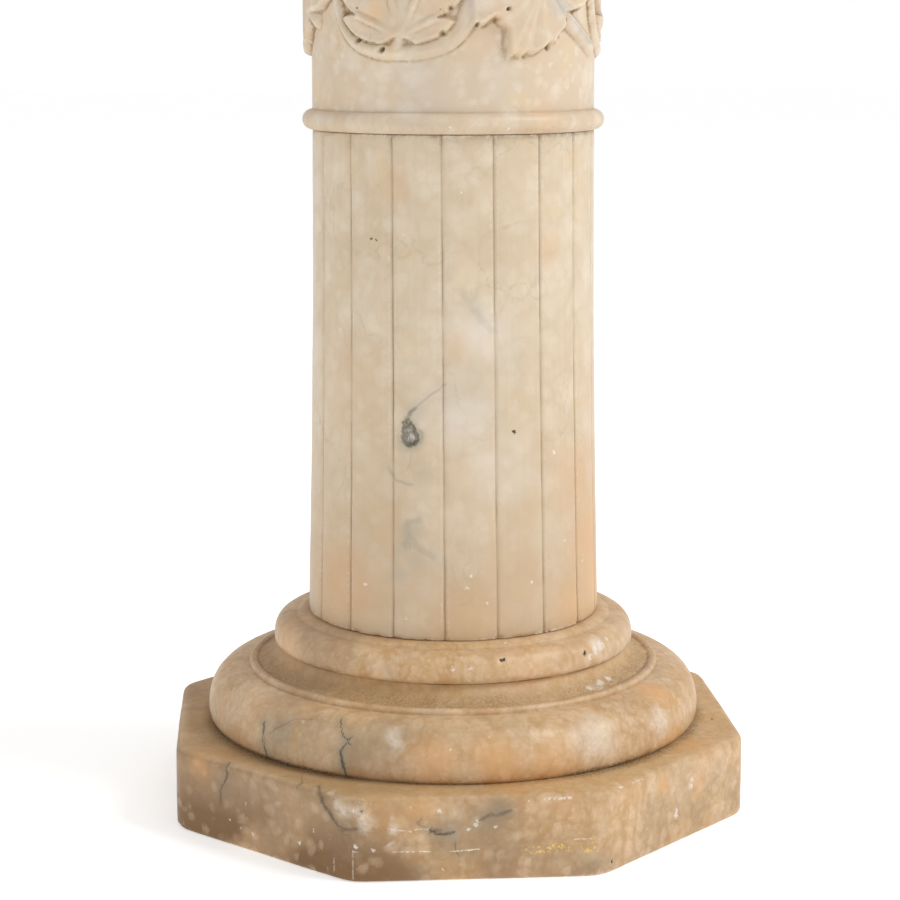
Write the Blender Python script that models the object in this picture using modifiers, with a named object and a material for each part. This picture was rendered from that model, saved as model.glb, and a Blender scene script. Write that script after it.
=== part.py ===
"""Alabaster column: an octagonal plinth with an attic base, two reeded shafts with a carved drum between them, and
an octagonal capital.

Metres, +Z up. The origin is the centre of the plinth's underside, and a flat of the plinth faces -Y.
"""

import math

import bmesh
import bpy
from mathutils import Matrix

# The thin joint between two stones that stand on each other
JOINT = 0.0003

# Plinth, an octagonal slab that is one stone with the mouldings over it
PLINTH_FLATS = 0.3050
PLINTH_HEIGHT = 0.0434
PLINTH_CORNER = 0.0075
PLINTH_TOP_ROUND = 0.0035
PLINTH_FOOT_ROUND = 0.0016

# Attic base: a large torus, a rim, a hollow, a small torus and a fillet. Radii, and heights of each member
LOWER_TORUS_FOOT = 0.1330
LOWER_TORUS_RADIUS = 0.1358
LOWER_TORUS_BELLY = 0.0065
LOWER_TORUS_FULLNESS = 2.35
LOWER_TORUS_HEIGHT = 0.0300
RIM_RADIUS = 0.1120
RIM_HEIGHT = 0.0030
RIM_SETBACK = 0.0030
HOLLOW_TOP_RADIUS = 0.0955
HOLLOW_HEIGHT = 0.0088
HOLLOW_BOW = 0.14
UPPER_TORUS_RADIUS = 0.0991
UPPER_TORUS_BELLY = 0.0025
UPPER_TORUS_FULLNESS = 2.7
UPPER_TORUS_HEIGHT = 0.0152
BASE_FILLET_RADIUS = 0.0844
BASE_FILLET_HEIGHT = 0.0031

# Shafts. A reed is the convex strip between two cut grooves
REEDS = 18
LOWER_SHAFT_FOOT_RADIUS = 0.0801
LOWER_SHAFT_TOP_RADIUS = 0.0755
LOWER_SHAFT_SPREAD = 1.7
LOWER_SHAFT_HEIGHT = 0.2618
UPPER_SHAFT_FOOT_RADIUS = 0.0752
UPPER_SHAFT_TOP_RADIUS = 0.0730
UPPER_SHAFT_SPREAD = 1.2
UPPER_SHAFT_HEIGHT = 0.2618
GROOVE_DEPTH = 0.0020
REED_CROWN = 0.0005
REED_SHOULDER = 0.0024
SHAFT_TURN = math.radians(1.0)
SHAFT_TWIST = math.radians(1.5)

# Drum between the shafts, with a ring at each end
DRUM_RADIUS = 0.0753
DRUM_FACE_HEIGHT = 0.1348
RING_HEIGHT = 0.0107
RING_OUT = 0.0054

# The carved vine repeats round the drum. Each repeat has a roundel of stem with a blossom in it, and a link to the
# next roundel with a leaf under it and a leaf over it. Angles are counted from the roundel's middle, anticlockwise
# seen from above, and heights from the middle of the drum's face
VINE_REPEATS = 3
FIRST_ROUNDEL = math.radians(246.3)
STEM_RADIUS = 0.0042
ROUNDEL_WIDTH = 0.0760
ROUNDEL_HEIGHT = 0.0780
ROUNDEL_FULLNESS = 2.3
LINK_START = (math.radians(24.0), 0.0200)
LINK_END = (math.radians(98.0), -0.0390)
LINK_SWAY = 0.0020
STALK_FOOT = (math.radians(-1.5), -0.0390)
STALK_RADIUS = 0.0034
ORNAMENT_RELIEF = 0.0052
ORNAMENT_VALLEY = 0.0026
ORNAMENT_SUNK = 0.0050

# The carving starts this far under the drum's face, so that no edge of it is undercut
CARVING_ROOT = 0.0006

# A lobe is its direction in degrees, counted clockwise from straight up, its length and its half width in degrees
BLOSSOM_HEART = (math.radians(-1.2), -0.0270)
BLOSSOM_LOBES = (
    (-86.0, 0.0330, 26.0),
    (-43.0, 0.0440, 24.0),
    (0.0, 0.0560, 23.0),
    (41.0, 0.0430, 24.0),
    (82.0, 0.0295, 26.0),
    (180.0, 0.0060, 90.0),
)
LEAF_HEART = (math.radians(54.0), -0.0040)
LEAF_LOBES = (
    (-60.0, 0.0300, 28.0),
    (-117.0, 0.0435, 21.0),
    (-151.0, 0.0430, 16.0),
    (-178.0, 0.0370, 15.0),
    (154.0, 0.0340, 16.0),
    (122.0, 0.0260, 22.0),
    (60.0, 0.0120, 60.0),
)

# Capital, one stone with its octagonal abacus
CAPITAL_NECK_RADIUS = 0.0790
CAPITAL_NECK_HEIGHT = 0.0030
CAPITAL_TORUS_RADIUS = 0.0850
CAPITAL_TORUS_HEIGHT = 0.0110
CAPITAL_HOLLOW_FOOT = 0.0790
CAPITAL_HOLLOW_TOP = 0.1030
CAPITAL_HOLLOW_HEIGHT = 0.0200
CAPITAL_HOLLOW_BOW = 0.16
CAPITAL_FILLET_RADIUS = 0.1060
CAPITAL_FILLET_HEIGHT = 0.0030
ECHINUS_TOP = 0.1240
ECHINUS_HEIGHT = 0.0170
ECHINUS_BOW = 0.20
ABACUS_FLATS = 0.2760
ABACUS_HEIGHT = 0.0360
ABACUS_CORNER = 0.0060
ABACUS_ROUND = 0.0030

# How finely the round forms are divided
TURN_STEPS = 40
QUARTER_POINTS = 4
SHAFT_BANDS = 3
ROUNDEL_POINTS = 24
LINK_POINTS = 10
STALK_POINTS = 4
TUBE_RESOLUTION = 2
BLOSSOM_SEGMENTS = 36
LEAF_SEGMENTS = 32
ORNAMENT_RINGS = 6

# Heights that follow from the sizes above
LOWER_TORUS_TOP = PLINTH_HEIGHT + LOWER_TORUS_HEIGHT
HOLLOW_FOOT = LOWER_TORUS_TOP + RIM_HEIGHT
HOLLOW_TOP = HOLLOW_FOOT + HOLLOW_HEIGHT
UPPER_TORUS_TOP = HOLLOW_TOP + UPPER_TORUS_HEIGHT
BASE_TOP = UPPER_TORUS_TOP + BASE_FILLET_HEIGHT
LOWER_SHAFT_FOOT = BASE_TOP + JOINT
LOWER_SHAFT_TOP = LOWER_SHAFT_FOOT + LOWER_SHAFT_HEIGHT
DRUM_FOOT = LOWER_SHAFT_TOP + JOINT
DRUM_TOP = DRUM_FOOT + DRUM_FACE_HEIGHT + 2 * RING_HEIGHT
BAND_MIDDLE = (DRUM_FOOT + DRUM_TOP) / 2
UPPER_SHAFT_FOOT = DRUM_TOP + JOINT
UPPER_SHAFT_TOP = UPPER_SHAFT_FOOT + UPPER_SHAFT_HEIGHT
CAPITAL_FOOT = UPPER_SHAFT_TOP + JOINT
CAPITAL_TORUS_FOOT = CAPITAL_FOOT + CAPITAL_NECK_HEIGHT
CAPITAL_HOLLOW_START = CAPITAL_TORUS_FOOT + CAPITAL_TORUS_HEIGHT
CAPITAL_FILLET_FOOT = CAPITAL_HOLLOW_START + CAPITAL_HOLLOW_HEIGHT
ECHINUS_FOOT = CAPITAL_FILLET_FOOT + CAPITAL_FILLET_HEIGHT
ABACUS_FOOT = ECHINUS_FOOT + ECHINUS_HEIGHT

# Alabaster, whiter in the shafts and honey brown in the base
SHAFT_COLOUR = (0.72, 0.60, 0.45, 1.0)
DRUM_COLOUR = (0.74, 0.61, 0.47, 1.0)
BASE_COLOUR = (0.58, 0.40, 0.24, 1.0)
CAPITAL_COLOUR = (0.66, 0.50, 0.33, 1.0)
POLISH = 0.45


def clear_scene():
    for old in list(bpy.data.objects):
        bpy.data.objects.remove(old)


def collection(name):
    made = bpy.data.collections.new(name)
    bpy.context.scene.collection.children.link(made)
    return made


def alabaster(name, colour):
    material = bpy.data.materials.new(name)
    material.use_nodes = True
    shader = material.node_tree.nodes["Principled BSDF"]
    shader.inputs["Base Color"].default_value = colour
    shader.inputs["Roughness"].default_value = POLISH
    shader.inputs["Metallic"].default_value = 0.0
    material.diffuse_color = colour
    return material


def mesh_object(name, mesh, group, material=None):
    made = bpy.data.objects.new(name, mesh)
    group.objects.link(made)
    if material is not None:
        mesh.materials.append(material)
    return made


def mesh_from(bm, name):
    mesh = bpy.data.meshes.new(name)
    bm.to_mesh(mesh)
    bm.free()
    return mesh


def as_helper(helper):
    """A helper only joins another object, so it isn't part of the model."""
    helper.hide_render = True
    helper.display_type = "WIRE"
    return helper


def join_to(target, helper):
    union = target.modifiers.new("join " + helper.name, "BOOLEAN")
    union.operation = "UNION"
    union.solver = "EXACT"
    union.object = helper


def smooth_with_edges(mesh, angle=math.radians(35.0)):
    mesh.shade_smooth()
    mesh.set_sharp_from_angle(angle=angle)


def quarter_round(wide, narrow, fullness):
    """From the widest point (radius, height) to the narrow end, along a quarter of a superellipse."""
    (wide_radius, wide_height), (narrow_radius, narrow_height) = wide, narrow
    for i in range(QUARTER_POINTS + 1):
        turn = math.pi / 2 * i / QUARTER_POINTS
        across = math.cos(turn) ** (2 / fullness)
        along = math.sin(turn) ** (2 / fullness)
        yield (
            narrow_radius + (wide_radius - narrow_radius) * across,
            wide_height + (narrow_height - wide_height) * along,
        )


def bowed(start, end, bow, points=4):
    """From start to end along an arc that stands off the chord by the share bow, outwards if it is positive."""
    (r0, z0), (r1, z1) = start, end
    for i in range(points + 1):
        share = i / points
        off = 4 * bow * share * (1 - share)
        yield r0 + (r1 - r0) * share + (z1 - z0) * off, z0 + (z1 - z0) * share - (r1 - r0) * off


def half_round(radius, foot, height, out):
    """A bead from foot to foot + height that stands out from radius by out."""
    for i in range(QUARTER_POINTS + 2):
        turn = math.pi * i / (QUARTER_POINTS + 1)
        yield radius + out * math.sin(turn), foot + height / 2 * (1 - math.cos(turn))


def turned(name, rising_profile, group, material=None):
    """A solid of revolution. The profile rises from the axis at its foot to the axis at its top."""
    points = []
    for radius, height in rising_profile:
        if not points or math.dist(points[-1], (radius, height)) > 1e-6:
            points.append((radius, height))
    falling = points[::-1]
    mesh = bpy.data.meshes.new(name)
    mesh.from_pydata(
        [(radius, 0.0, height) for radius, height in falling],
        [(i, i + 1) for i in range(len(falling) - 1)],
        [],
    )
    made = mesh_object(name, mesh, group, material)
    screw = made.modifiers.new("turn", "SCREW")
    screw.axis = "Z"
    screw.angle = 2 * math.pi
    screw.steps = TURN_STEPS
    screw.render_steps = TURN_STEPS
    screw.use_merge_vertices = True
    screw.merge_threshold = 0.00001
    screw.use_smooth_shade = True
    return made


def rim_edges(bm, level):
    return [edge for edge in bm.edges if all(abs(vert.co.z - level) < 1e-5 for vert in edge.verts)]


def octagonal_slab(name, flats, foot, height, corner, top_round, foot_round, group, material):
    """An octagon with a flat to each side, its upright corners and its rims rounded."""
    eighth = math.pi / 4
    reach = flats / 2 / math.cos(eighth / 2)
    bm = bmesh.new()
    bmesh.ops.create_cone(bm, cap_ends=True, segments=8, radius1=reach, radius2=reach, depth=height)
    bmesh.ops.transform(bm, matrix=Matrix.Rotation(eighth / 2, 4, "Z"), verts=bm.verts)
    bmesh.ops.translate(bm, vec=(0.0, 0.0, foot + height / 2), verts=bm.verts)
    upright = [edge for edge in bm.edges if abs(edge.verts[0].co.z - edge.verts[1].co.z) > height / 2]
    bmesh.ops.bevel(bm, geom=upright, offset=corner, segments=3, profile=0.5, affect="EDGES")
    for level, rounding in ((foot + height, top_round), (foot, foot_round)):
        rim = rim_edges(bm, level)
        bmesh.ops.bevel(bm, geom=rim, offset=rounding, segments=2, profile=0.5, affect="EDGES")
    mesh = mesh_from(bm, name)
    smooth_with_edges(mesh)
    return mesh_object(name, mesh, group, material)


def base_mouldings():
    """The turned part of the base, from inside the plinth up to the fillet that the shaft stands on."""
    yield 0.0, PLINTH_HEIGHT / 2
    yield LOWER_TORUS_FOOT, PLINTH_HEIGHT / 2
    yield LOWER_TORUS_FOOT, PLINTH_HEIGHT
    yield from quarter_round(
        (LOWER_TORUS_RADIUS, PLINTH_HEIGHT + LOWER_TORUS_BELLY),
        (RIM_RADIUS, LOWER_TORUS_TOP),
        LOWER_TORUS_FULLNESS,
    )
    yield RIM_RADIUS + RIM_HEIGHT / 6, LOWER_TORUS_TOP + RIM_HEIGHT / 3
    yield from bowed(
        (RIM_RADIUS - RIM_SETBACK, HOLLOW_FOOT),
        (HOLLOW_TOP_RADIUS, HOLLOW_TOP),
        -HOLLOW_BOW,
    )
    yield from quarter_round(
        (UPPER_TORUS_RADIUS, HOLLOW_TOP + UPPER_TORUS_BELLY),
        (BASE_FILLET_RADIUS, UPPER_TORUS_TOP),
        UPPER_TORUS_FULLNESS,
    )
    yield BASE_FILLET_RADIUS, BASE_TOP
    yield 0.0, BASE_TOP


def make_base(group, helpers, material):
    base = octagonal_slab(
        "base",
        PLINTH_FLATS,
        0.0,
        PLINTH_HEIGHT,
        PLINTH_CORNER,
        PLINTH_TOP_ROUND,
        PLINTH_FOOT_ROUND,
        group,
        material,
    )
    join_to(base, as_helper(turned("base_mouldings", base_mouldings(), helpers)))
    return base


def reed_stations():
    """Where a reed's section has its points: the angle from the groove, as a share of the reed, and the depth."""
    pitch = 2 * math.pi * LOWER_SHAFT_TOP_RADIUS / REEDS
    shoulder = REED_SHOULDER / pitch
    middle = (shoulder + 0.5) / 2
    side_depth = REED_CROWN * (1 - 2 * middle) ** 2
    return (
        (0.0, GROOVE_DEPTH),
        (shoulder, REED_CROWN),
        (middle, side_depth),
        (0.5, 0.0),
        (1 - middle, side_depth),
        (1 - shoulder, REED_CROWN),
    )


def reeded_shaft(name, foot, height, foot_radius, top_radius, spread, twist, group, material):
    """A cylinder whose columns of points are pulled in to grooves. It widens towards its foot, faster as spread grows."""
    stations = reed_stations()
    columns = REEDS * len(stations)
    bm = bmesh.new()
    bmesh.ops.create_cone(bm, cap_ends=True, segments=columns, radius1=1.0, radius2=1.0, depth=1.0)
    upright = [edge for edge in bm.edges if abs(edge.verts[0].co.z - edge.verts[1].co.z) > 0.5]
    bmesh.ops.subdivide_edges(bm, edges=upright, cuts=SHAFT_BANDS - 1, use_grid_fill=True)
    for vert in bm.verts:
        column = round(math.atan2(vert.co.y, vert.co.x) / (2 * math.pi) * columns) % columns
        reed, station = divmod(column, len(stations))
        share, depth = stations[station]
        up = vert.co.z + 0.5
        angle = (reed + share) * 2 * math.pi / REEDS + SHAFT_TURN + twist * (1 - up)
        reach = top_radius + (foot_radius - top_radius) * (1 - up) ** spread - depth
        vert.co = (reach * math.cos(angle), reach * math.sin(angle), foot + height * up)
    mesh = mesh_from(bm, name)
    smooth_with_edges(mesh, math.radians(25.0))
    return mesh_object(name, mesh, group, material)


def drum_profile():
    face_foot = DRUM_FOOT + RING_HEIGHT
    face_top = DRUM_TOP - RING_HEIGHT
    yield 0.0, DRUM_FOOT
    yield from half_round(DRUM_RADIUS, DRUM_FOOT, RING_HEIGHT, RING_OUT)
    yield DRUM_RADIUS, face_foot
    yield DRUM_RADIUS, face_top
    yield from half_round(DRUM_RADIUS, face_top, RING_HEIGHT, RING_OUT)
    yield 0.0, DRUM_TOP


def on_drum(angle, height, lift=-CARVING_ROOT):
    """A point over or under the drum's face. The height is counted from the middle of the carved band."""
    reach = DRUM_RADIUS + lift
    return reach * math.cos(angle), reach * math.sin(angle), BAND_MIDDLE + height


def tube(name, points, radii, closed, group):
    """A round bar along points, as a welded mesh, so that a Boolean can take it."""
    curve = bpy.data.curves.new(name, "CURVE")
    curve.dimensions = "3D"
    curve.bevel_depth = 1.0
    curve.bevel_resolution = TUBE_RESOLUTION
    curve.use_fill_caps = not closed
    spline = curve.splines.new("POLY")
    spline.points.add(len(points) - 1)
    for point, place, radius in zip(spline.points, points, radii):
        point.co = (*place, 1.0)
        point.radius = radius
    spline.use_cyclic_u = closed
    guide = bpy.data.objects.new(name, curve)
    group.objects.link(guide)
    evaluated = guide.evaluated_get(bpy.context.evaluated_depsgraph_get())
    mesh = bpy.data.meshes.new_from_object(evaluated)
    bpy.data.objects.remove(guide)
    bm = bmesh.new()
    bm.from_mesh(mesh)
    bmesh.ops.remove_doubles(bm, verts=bm.verts, dist=0.00001)
    bmesh.ops.recalc_face_normals(bm, faces=bm.faces)
    bm.to_mesh(mesh)
    bm.free()
    return as_helper(mesh_object(name, mesh, group))


def roundel(name, middle_angle, group):
    """The ring of stem round a blossom, a superellipse laid on the drum."""
    points = []
    for i in range(ROUNDEL_POINTS):
        turn = 2 * math.pi * i / ROUNDEL_POINTS
        across, along = math.cos(turn), math.sin(turn)
        sideways = math.copysign(abs(across) ** (2 / ROUNDEL_FULLNESS), across) * ROUNDEL_WIDTH / 2
        height = math.copysign(abs(along) ** (2 / ROUNDEL_FULLNESS), along) * ROUNDEL_HEIGHT / 2
        points.append(on_drum(middle_angle + sideways / DRUM_RADIUS, height))
    return tube(name, points, [STEM_RADIUS] * ROUNDEL_POINTS, True, group)


def laid_bar(name, middle_angle, start, end, sway, count, foot_radius, tip_radius, group):
    """A bar laid on the drum from start to end, each (angle, height) from the roundel's middle."""
    points, radii = [], []
    for i in range(count + 1):
        share = i / count
        angle = middle_angle + start[0] + (end[0] - start[0]) * share
        height = start[1] + (end[1] - start[1]) * share + sway * math.sin(2 * math.pi * share)
        points.append(on_drum(angle, height))
        radii.append(foot_radius + (tip_radius - foot_radius) * share)
    return tube(name, points, radii, False, group)


def lobe_at(lobes, direction):
    """How far the outline lies from the heart in a direction, and how near that direction is to a lobe's middle."""
    reach = min(length for _, length, _ in lobes)
    nearness = 0.0
    for centre, length, half_width in lobes:
        off = abs((direction - centre + 180.0) % 360.0 - 180.0) / half_width
        if off < 1.0:
            lobe_reach = length * (1 - 0.4 * off**2)
            if lobe_reach > reach:
                reach, nearness = lobe_reach, 1 - off
    return reach, nearness


def ornament(name, heart_angle, heart_height, lobes, turned_over, segments, group):
    """A blossom or leaf: a UV sphere drawn out to the lobes, with a valley between two lobes and its back in the drum."""
    bm = bmesh.new()
    bmesh.ops.create_uvsphere(bm, u_segments=segments, v_segments=ORNAMENT_RINGS, radius=1.0)
    way = -1 if turned_over else 1
    for vert in bm.verts:
        out = min(1.0, math.hypot(vert.co.x, vert.co.y))
        direction = math.degrees(math.atan2(vert.co.x, vert.co.y))
        lobe_reach, nearness = lobe_at(lobes, direction)
        across = way * math.sqrt(out) * lobe_reach * math.sin(math.radians(direction))
        height = way * math.sqrt(out) * lobe_reach * math.cos(math.radians(direction))
        crown = (ORNAMENT_RELIEF - ORNAMENT_VALLEY * (1 - nearness) * out) * (1 - out**10)
        lift = crown - CARVING_ROOT * out**10 if vert.co.z > -1e-4 else -ORNAMENT_SUNK
        vert.co = on_drum(heart_angle + across / DRUM_RADIUS, heart_height + height, lift)
    bmesh.ops.recalc_face_normals(bm, faces=bm.faces)
    return as_helper(mesh_object(name, mesh_from(bm, name), group))


def make_drum(group, helpers, material):
    drum = turned("carved_drum", drum_profile(), group, material)
    link_middle = (LINK_START[0] + LINK_END[0]) / 2
    link_height = (LINK_START[1] + LINK_END[1]) / 2
    for i in range(VINE_REPEATS):
        middle = FIRST_ROUNDEL + 2 * math.pi * i / VINE_REPEATS
        join_to(drum, roundel(f"roundel_{i + 1}", middle, helpers))
        join_to(
            drum,
            laid_bar(
                f"link_{i + 1}",
                middle,
                LINK_START,
                LINK_END,
                LINK_SWAY,
                LINK_POINTS,
                STEM_RADIUS,
                STEM_RADIUS,
                helpers,
            ),
        )
        join_to(
            drum,
            laid_bar(
                f"stalk_{i + 1}",
                middle,
                STALK_FOOT,
                BLOSSOM_HEART,
                0.0,
                STALK_POINTS,
                STALK_RADIUS,
                STALK_RADIUS,
                helpers,
            ),
        )
        for kind, heart, lobes, turned_over, segments in (
            ("blossom", BLOSSOM_HEART, BLOSSOM_LOBES, False, BLOSSOM_SEGMENTS),
            ("lower_leaf", LEAF_HEART, LEAF_LOBES, False, LEAF_SEGMENTS),
            (
                "upper_leaf",
                (2 * link_middle - LEAF_HEART[0], 2 * link_height - LEAF_HEART[1]),
                LEAF_LOBES,
                True,
                LEAF_SEGMENTS,
            ),
        ):
            join_to(
                drum,
                ornament(
                    f"{kind}_{i + 1}", middle + heart[0], heart[1], lobes, turned_over, segments, helpers
                ),
            )
    return drum


def capital_profile():
    yield 0.0, CAPITAL_FOOT
    yield CAPITAL_NECK_RADIUS, CAPITAL_FOOT
    yield from half_round(
        CAPITAL_NECK_RADIUS,
        CAPITAL_TORUS_FOOT,
        CAPITAL_TORUS_HEIGHT,
        CAPITAL_TORUS_RADIUS - CAPITAL_NECK_RADIUS,
    )
    yield from bowed(
        (CAPITAL_HOLLOW_FOOT, CAPITAL_HOLLOW_START),
        (CAPITAL_HOLLOW_TOP, CAPITAL_FILLET_FOOT),
        -CAPITAL_HOLLOW_BOW,
    )
    yield CAPITAL_FILLET_RADIUS, CAPITAL_FILLET_FOOT
    yield from bowed((CAPITAL_FILLET_RADIUS, ECHINUS_FOOT), (ECHINUS_TOP, ABACUS_FOOT), ECHINUS_BOW)
    yield ECHINUS_TOP, ABACUS_FOOT + ABACUS_HEIGHT / 2
    yield 0.0, ABACUS_FOOT + ABACUS_HEIGHT / 2


def make_capital(group, helpers, material):
    capital = octagonal_slab(
        "capital",
        ABACUS_FLATS,
        ABACUS_FOOT,
        ABACUS_HEIGHT,
        ABACUS_CORNER,
        ABACUS_ROUND,
        ABACUS_ROUND,
        group,
        material,
    )
    join_to(capital, as_helper(turned("capital_mouldings", capital_profile(), helpers)))
    return capital


def main():
    clear_scene()
    column = collection("alabaster_column")
    helpers = collection("joined_shapes")
    shaft_stone = alabaster("alabaster_shaft", SHAFT_COLOUR)
    make_base(column, helpers, alabaster("alabaster_base", BASE_COLOUR))
    reeded_shaft(
        "lower_shaft",
        LOWER_SHAFT_FOOT,
        LOWER_SHAFT_HEIGHT,
        LOWER_SHAFT_FOOT_RADIUS,
        LOWER_SHAFT_TOP_RADIUS,
        LOWER_SHAFT_SPREAD,
        SHAFT_TWIST,
        column,
        shaft_stone,
    )
    make_drum(column, helpers, alabaster("alabaster_drum", DRUM_COLOUR))
    reeded_shaft(
        "upper_shaft",
        UPPER_SHAFT_FOOT,
        UPPER_SHAFT_HEIGHT,
        UPPER_SHAFT_FOOT_RADIUS,
        UPPER_SHAFT_TOP_RADIUS,
        UPPER_SHAFT_SPREAD,
        0.0,
        column,
        shaft_stone,
    )
    make_capital(column, helpers, alabaster("alabaster_capital", CAPITAL_COLOUR))


main()
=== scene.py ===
"""An alabaster column: its five stones, finely shaped, veined and worn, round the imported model.

Lengths are in metres and +Z is up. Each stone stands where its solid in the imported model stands.
"""

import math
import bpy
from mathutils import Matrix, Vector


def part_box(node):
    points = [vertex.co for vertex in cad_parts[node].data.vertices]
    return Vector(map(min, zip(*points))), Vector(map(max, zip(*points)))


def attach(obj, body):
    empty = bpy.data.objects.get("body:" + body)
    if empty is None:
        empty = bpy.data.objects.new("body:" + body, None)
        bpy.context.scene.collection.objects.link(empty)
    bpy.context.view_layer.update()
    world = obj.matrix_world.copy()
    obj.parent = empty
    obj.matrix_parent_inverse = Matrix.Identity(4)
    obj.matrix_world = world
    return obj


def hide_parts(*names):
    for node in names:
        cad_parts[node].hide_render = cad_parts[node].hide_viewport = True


bl_info = {
    "name": "Alabaster Column",
    "version": (1, 0, 0),
    "blender": (4, 5, 0),
    "location": "3D View > Sidebar > Column",
    "description": "Makes the five stones of a carved alabaster column and the stage they are shown on",
    "category": "Add Mesh",
}

import bpy
import numpy as np

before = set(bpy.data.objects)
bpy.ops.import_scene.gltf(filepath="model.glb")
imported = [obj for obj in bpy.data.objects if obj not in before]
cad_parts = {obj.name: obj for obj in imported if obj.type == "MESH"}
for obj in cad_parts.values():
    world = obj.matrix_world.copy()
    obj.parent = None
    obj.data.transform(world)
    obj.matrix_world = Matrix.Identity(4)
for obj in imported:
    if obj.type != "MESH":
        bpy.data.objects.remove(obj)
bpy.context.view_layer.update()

MM = 0.001
FULL_TURN = 2 * math.pi

# Where each stone stands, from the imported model
BASE_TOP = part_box("base")[1][2]
DRUM_FOOT, DRUM_TOP = (corner[2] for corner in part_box("carved_drum"))
CAPITAL_FOOT, CAPITAL_TOP = (corner[2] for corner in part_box("capital"))

# Base
PLINTH_FLATS = 0.3050
PLINTH_HEIGHT = 0.0434
PLINTH_TOP_ROUND = 0.0035
PLINTH_FOOT_ROUND = 0.0016
CORNER_SHARPNESS = 76
LOWER_TORUS_FOOT = 0.1330
LOWER_TORUS_RADIUS = 0.1358
LOWER_TORUS_BELLY = 0.0065
LOWER_TORUS_FULLNESS = 2.35
LOWER_TORUS_HEIGHT = 0.0300
RIM_RADIUS = 0.1120
RIM_HEIGHT = 0.0030
RIM_SETBACK = 0.0030
HOLLOW_TOP_RADIUS = 0.0955
HOLLOW_HEIGHT = 0.0088
HOLLOW_BOW = 0.14
UPPER_TORUS_RADIUS = 0.0991
UPPER_TORUS_BELLY = 0.0025
UPPER_TORUS_FULLNESS = 2.7
UPPER_TORUS_HEIGHT = 0.0152
BASE_FILLET_RADIUS = 0.0844
# How far in and how far down each ring of the fillet's worn edge lies
FILLET_EDGE = ((0.0004, 0.0021), (0.0010, 0.0015), (0.0018, 0.0011), (0.0028, 0.0007), (0.0036, 0.0003))

# Drum
DRUM_RADIUS = 0.0753
RING_HEIGHT = 0.0107
RING_OUT = 0.0054
BAND_MIDDLE = (DRUM_FOOT + DRUM_TOP) / 2

# Vine. Angles are counted anticlockwise from a roundel's middle, and heights from the band's middle
FIRST_ROUNDEL = math.radians(246.3)
ROUNDEL_WIDTH = 0.0782
ROUNDEL_SHIFT = -0.0031
ROUNDEL_HEIGHT = 0.0746
ROUNDEL_FULLNESS = 2.6
STEM_HALF_WIDTH = 0.0042
STEM_SWELLING = 0.0010
STEM_RELIEF = 0.0033
LINK_START = (math.radians(24.0), 0.0200)
LINK_END = (math.radians(84.0), -0.0315)
LINK_LENGTHS = (1.07, 1.07, 0.80)
LINK_SWAY = 0.0020
LINK_HALF_WIDTH = 0.0046
STALK_FOOT = (math.radians(-2.6), -0.0355)
STALK_HALF_WIDTH = 0.0042
STEM_GROOVE = 0.00035
PETAL_RELIEF = 0.0041
PETAL_POINTEDNESS = 0.34
PETAL_CUP = 0.0013
PETAL_RIM = 0.0007
PETAL_CREASE = 0.0006
PETAL_TIP = 0.0006
PETAL_RIB = 0.0004
BOSS_RELIEF = 0.0009
LEAF_RELIEF = 0.0042
LEAF_HOLLOW = 0.0007
LEAF_VEIN = 0.0005
LEAF_CURL = 0.0006
# In degrees from a roundel's middle: where its turn starts, its repeat's centre and the reach each way
REPEAT_SPAN = (100.0, 35.0, 90.0)
CARVED_HALF_HEIGHT = 0.0430
CARVED_ROWS = 116
PLAIN_ROWS = 12

# A lobe is its direction in degrees, clockwise from straight up, its length and its half width
BLOSSOM_HEART = (math.radians(-1.2), -0.0283)
BLOSSOM_LOBES = (
    (-92.0, 0.0400, 25.0),
    (-40.0, 0.0495, 27.0),
    (6.0, 0.0582, 19.0),
    (45.0, 0.0440, 20.0),
    (91.0, 0.0320, 26.0),
)

# A leaf's outline and the tips of its veins: angles in degrees and heights
LEAF_HEART = (54.0, -0.0040)
LEAF_OUTLINE = (
    (24.0, -0.0020),
    (25.2, -0.0232),
    (28.2, -0.0262),
    (31.5, -0.0240),
    (34.8, -0.0205),
    (36.4, -0.0238),
    (39.4, -0.0262),
    (39.1, -0.0330),
    (40.2, -0.0412),
    (43.2, -0.0390),
    (46.4, -0.0402),
    (47.8, -0.0378),
    (51.2, -0.0388),
    (56.0, -0.0356),
    (58.2, -0.0330),
    (61.6, -0.0334),
    (63.2, -0.0290),
    (67.4, -0.0238),
    (66.2, -0.0140),
    (62.0, -0.0060),
    (57.0, 0.0040),
    (50.0, 0.0080),
    (40.0, 0.0060),
    (30.0, 0.0040),
)
LEAF_VEIN_TIPS = (
    (27.5, -0.0240),
    (36.5, -0.0235),
    (40.6, -0.0385),
    (46.0, -0.0385),
    (54.5, -0.0350),
    (65.0, -0.0240),
)

# The link stem's middle. The upper leaf is the lower one turned half round about it
LINK_MIDDLE = ((LINK_START[0] + LINK_END[0]) / 2, (LINK_START[1] + LINK_END[1]) / 2)

# Drilled holes between the lobes: the angle in degrees, the height and the radius
DRILLED_HOLES = (
    (-18.9, -0.0311, 0.0014),
    (15.5, -0.0276, 0.0017),
    (18.7, -0.0153, 0.0016),
    (16.4, -0.0180, 0.0010),
    (-8.1, -0.0360, 0.0014),
    (35.2, -0.0217, 0.0013),
    (47.6, -0.0392, 0.0015),
    (58.4, -0.0352, 0.0018),
    (64.2, -0.0296, 0.0011),
    (39.7, -0.0163, 0.0011),
    (28.2, -0.0240, 0.0012),
)

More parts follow.
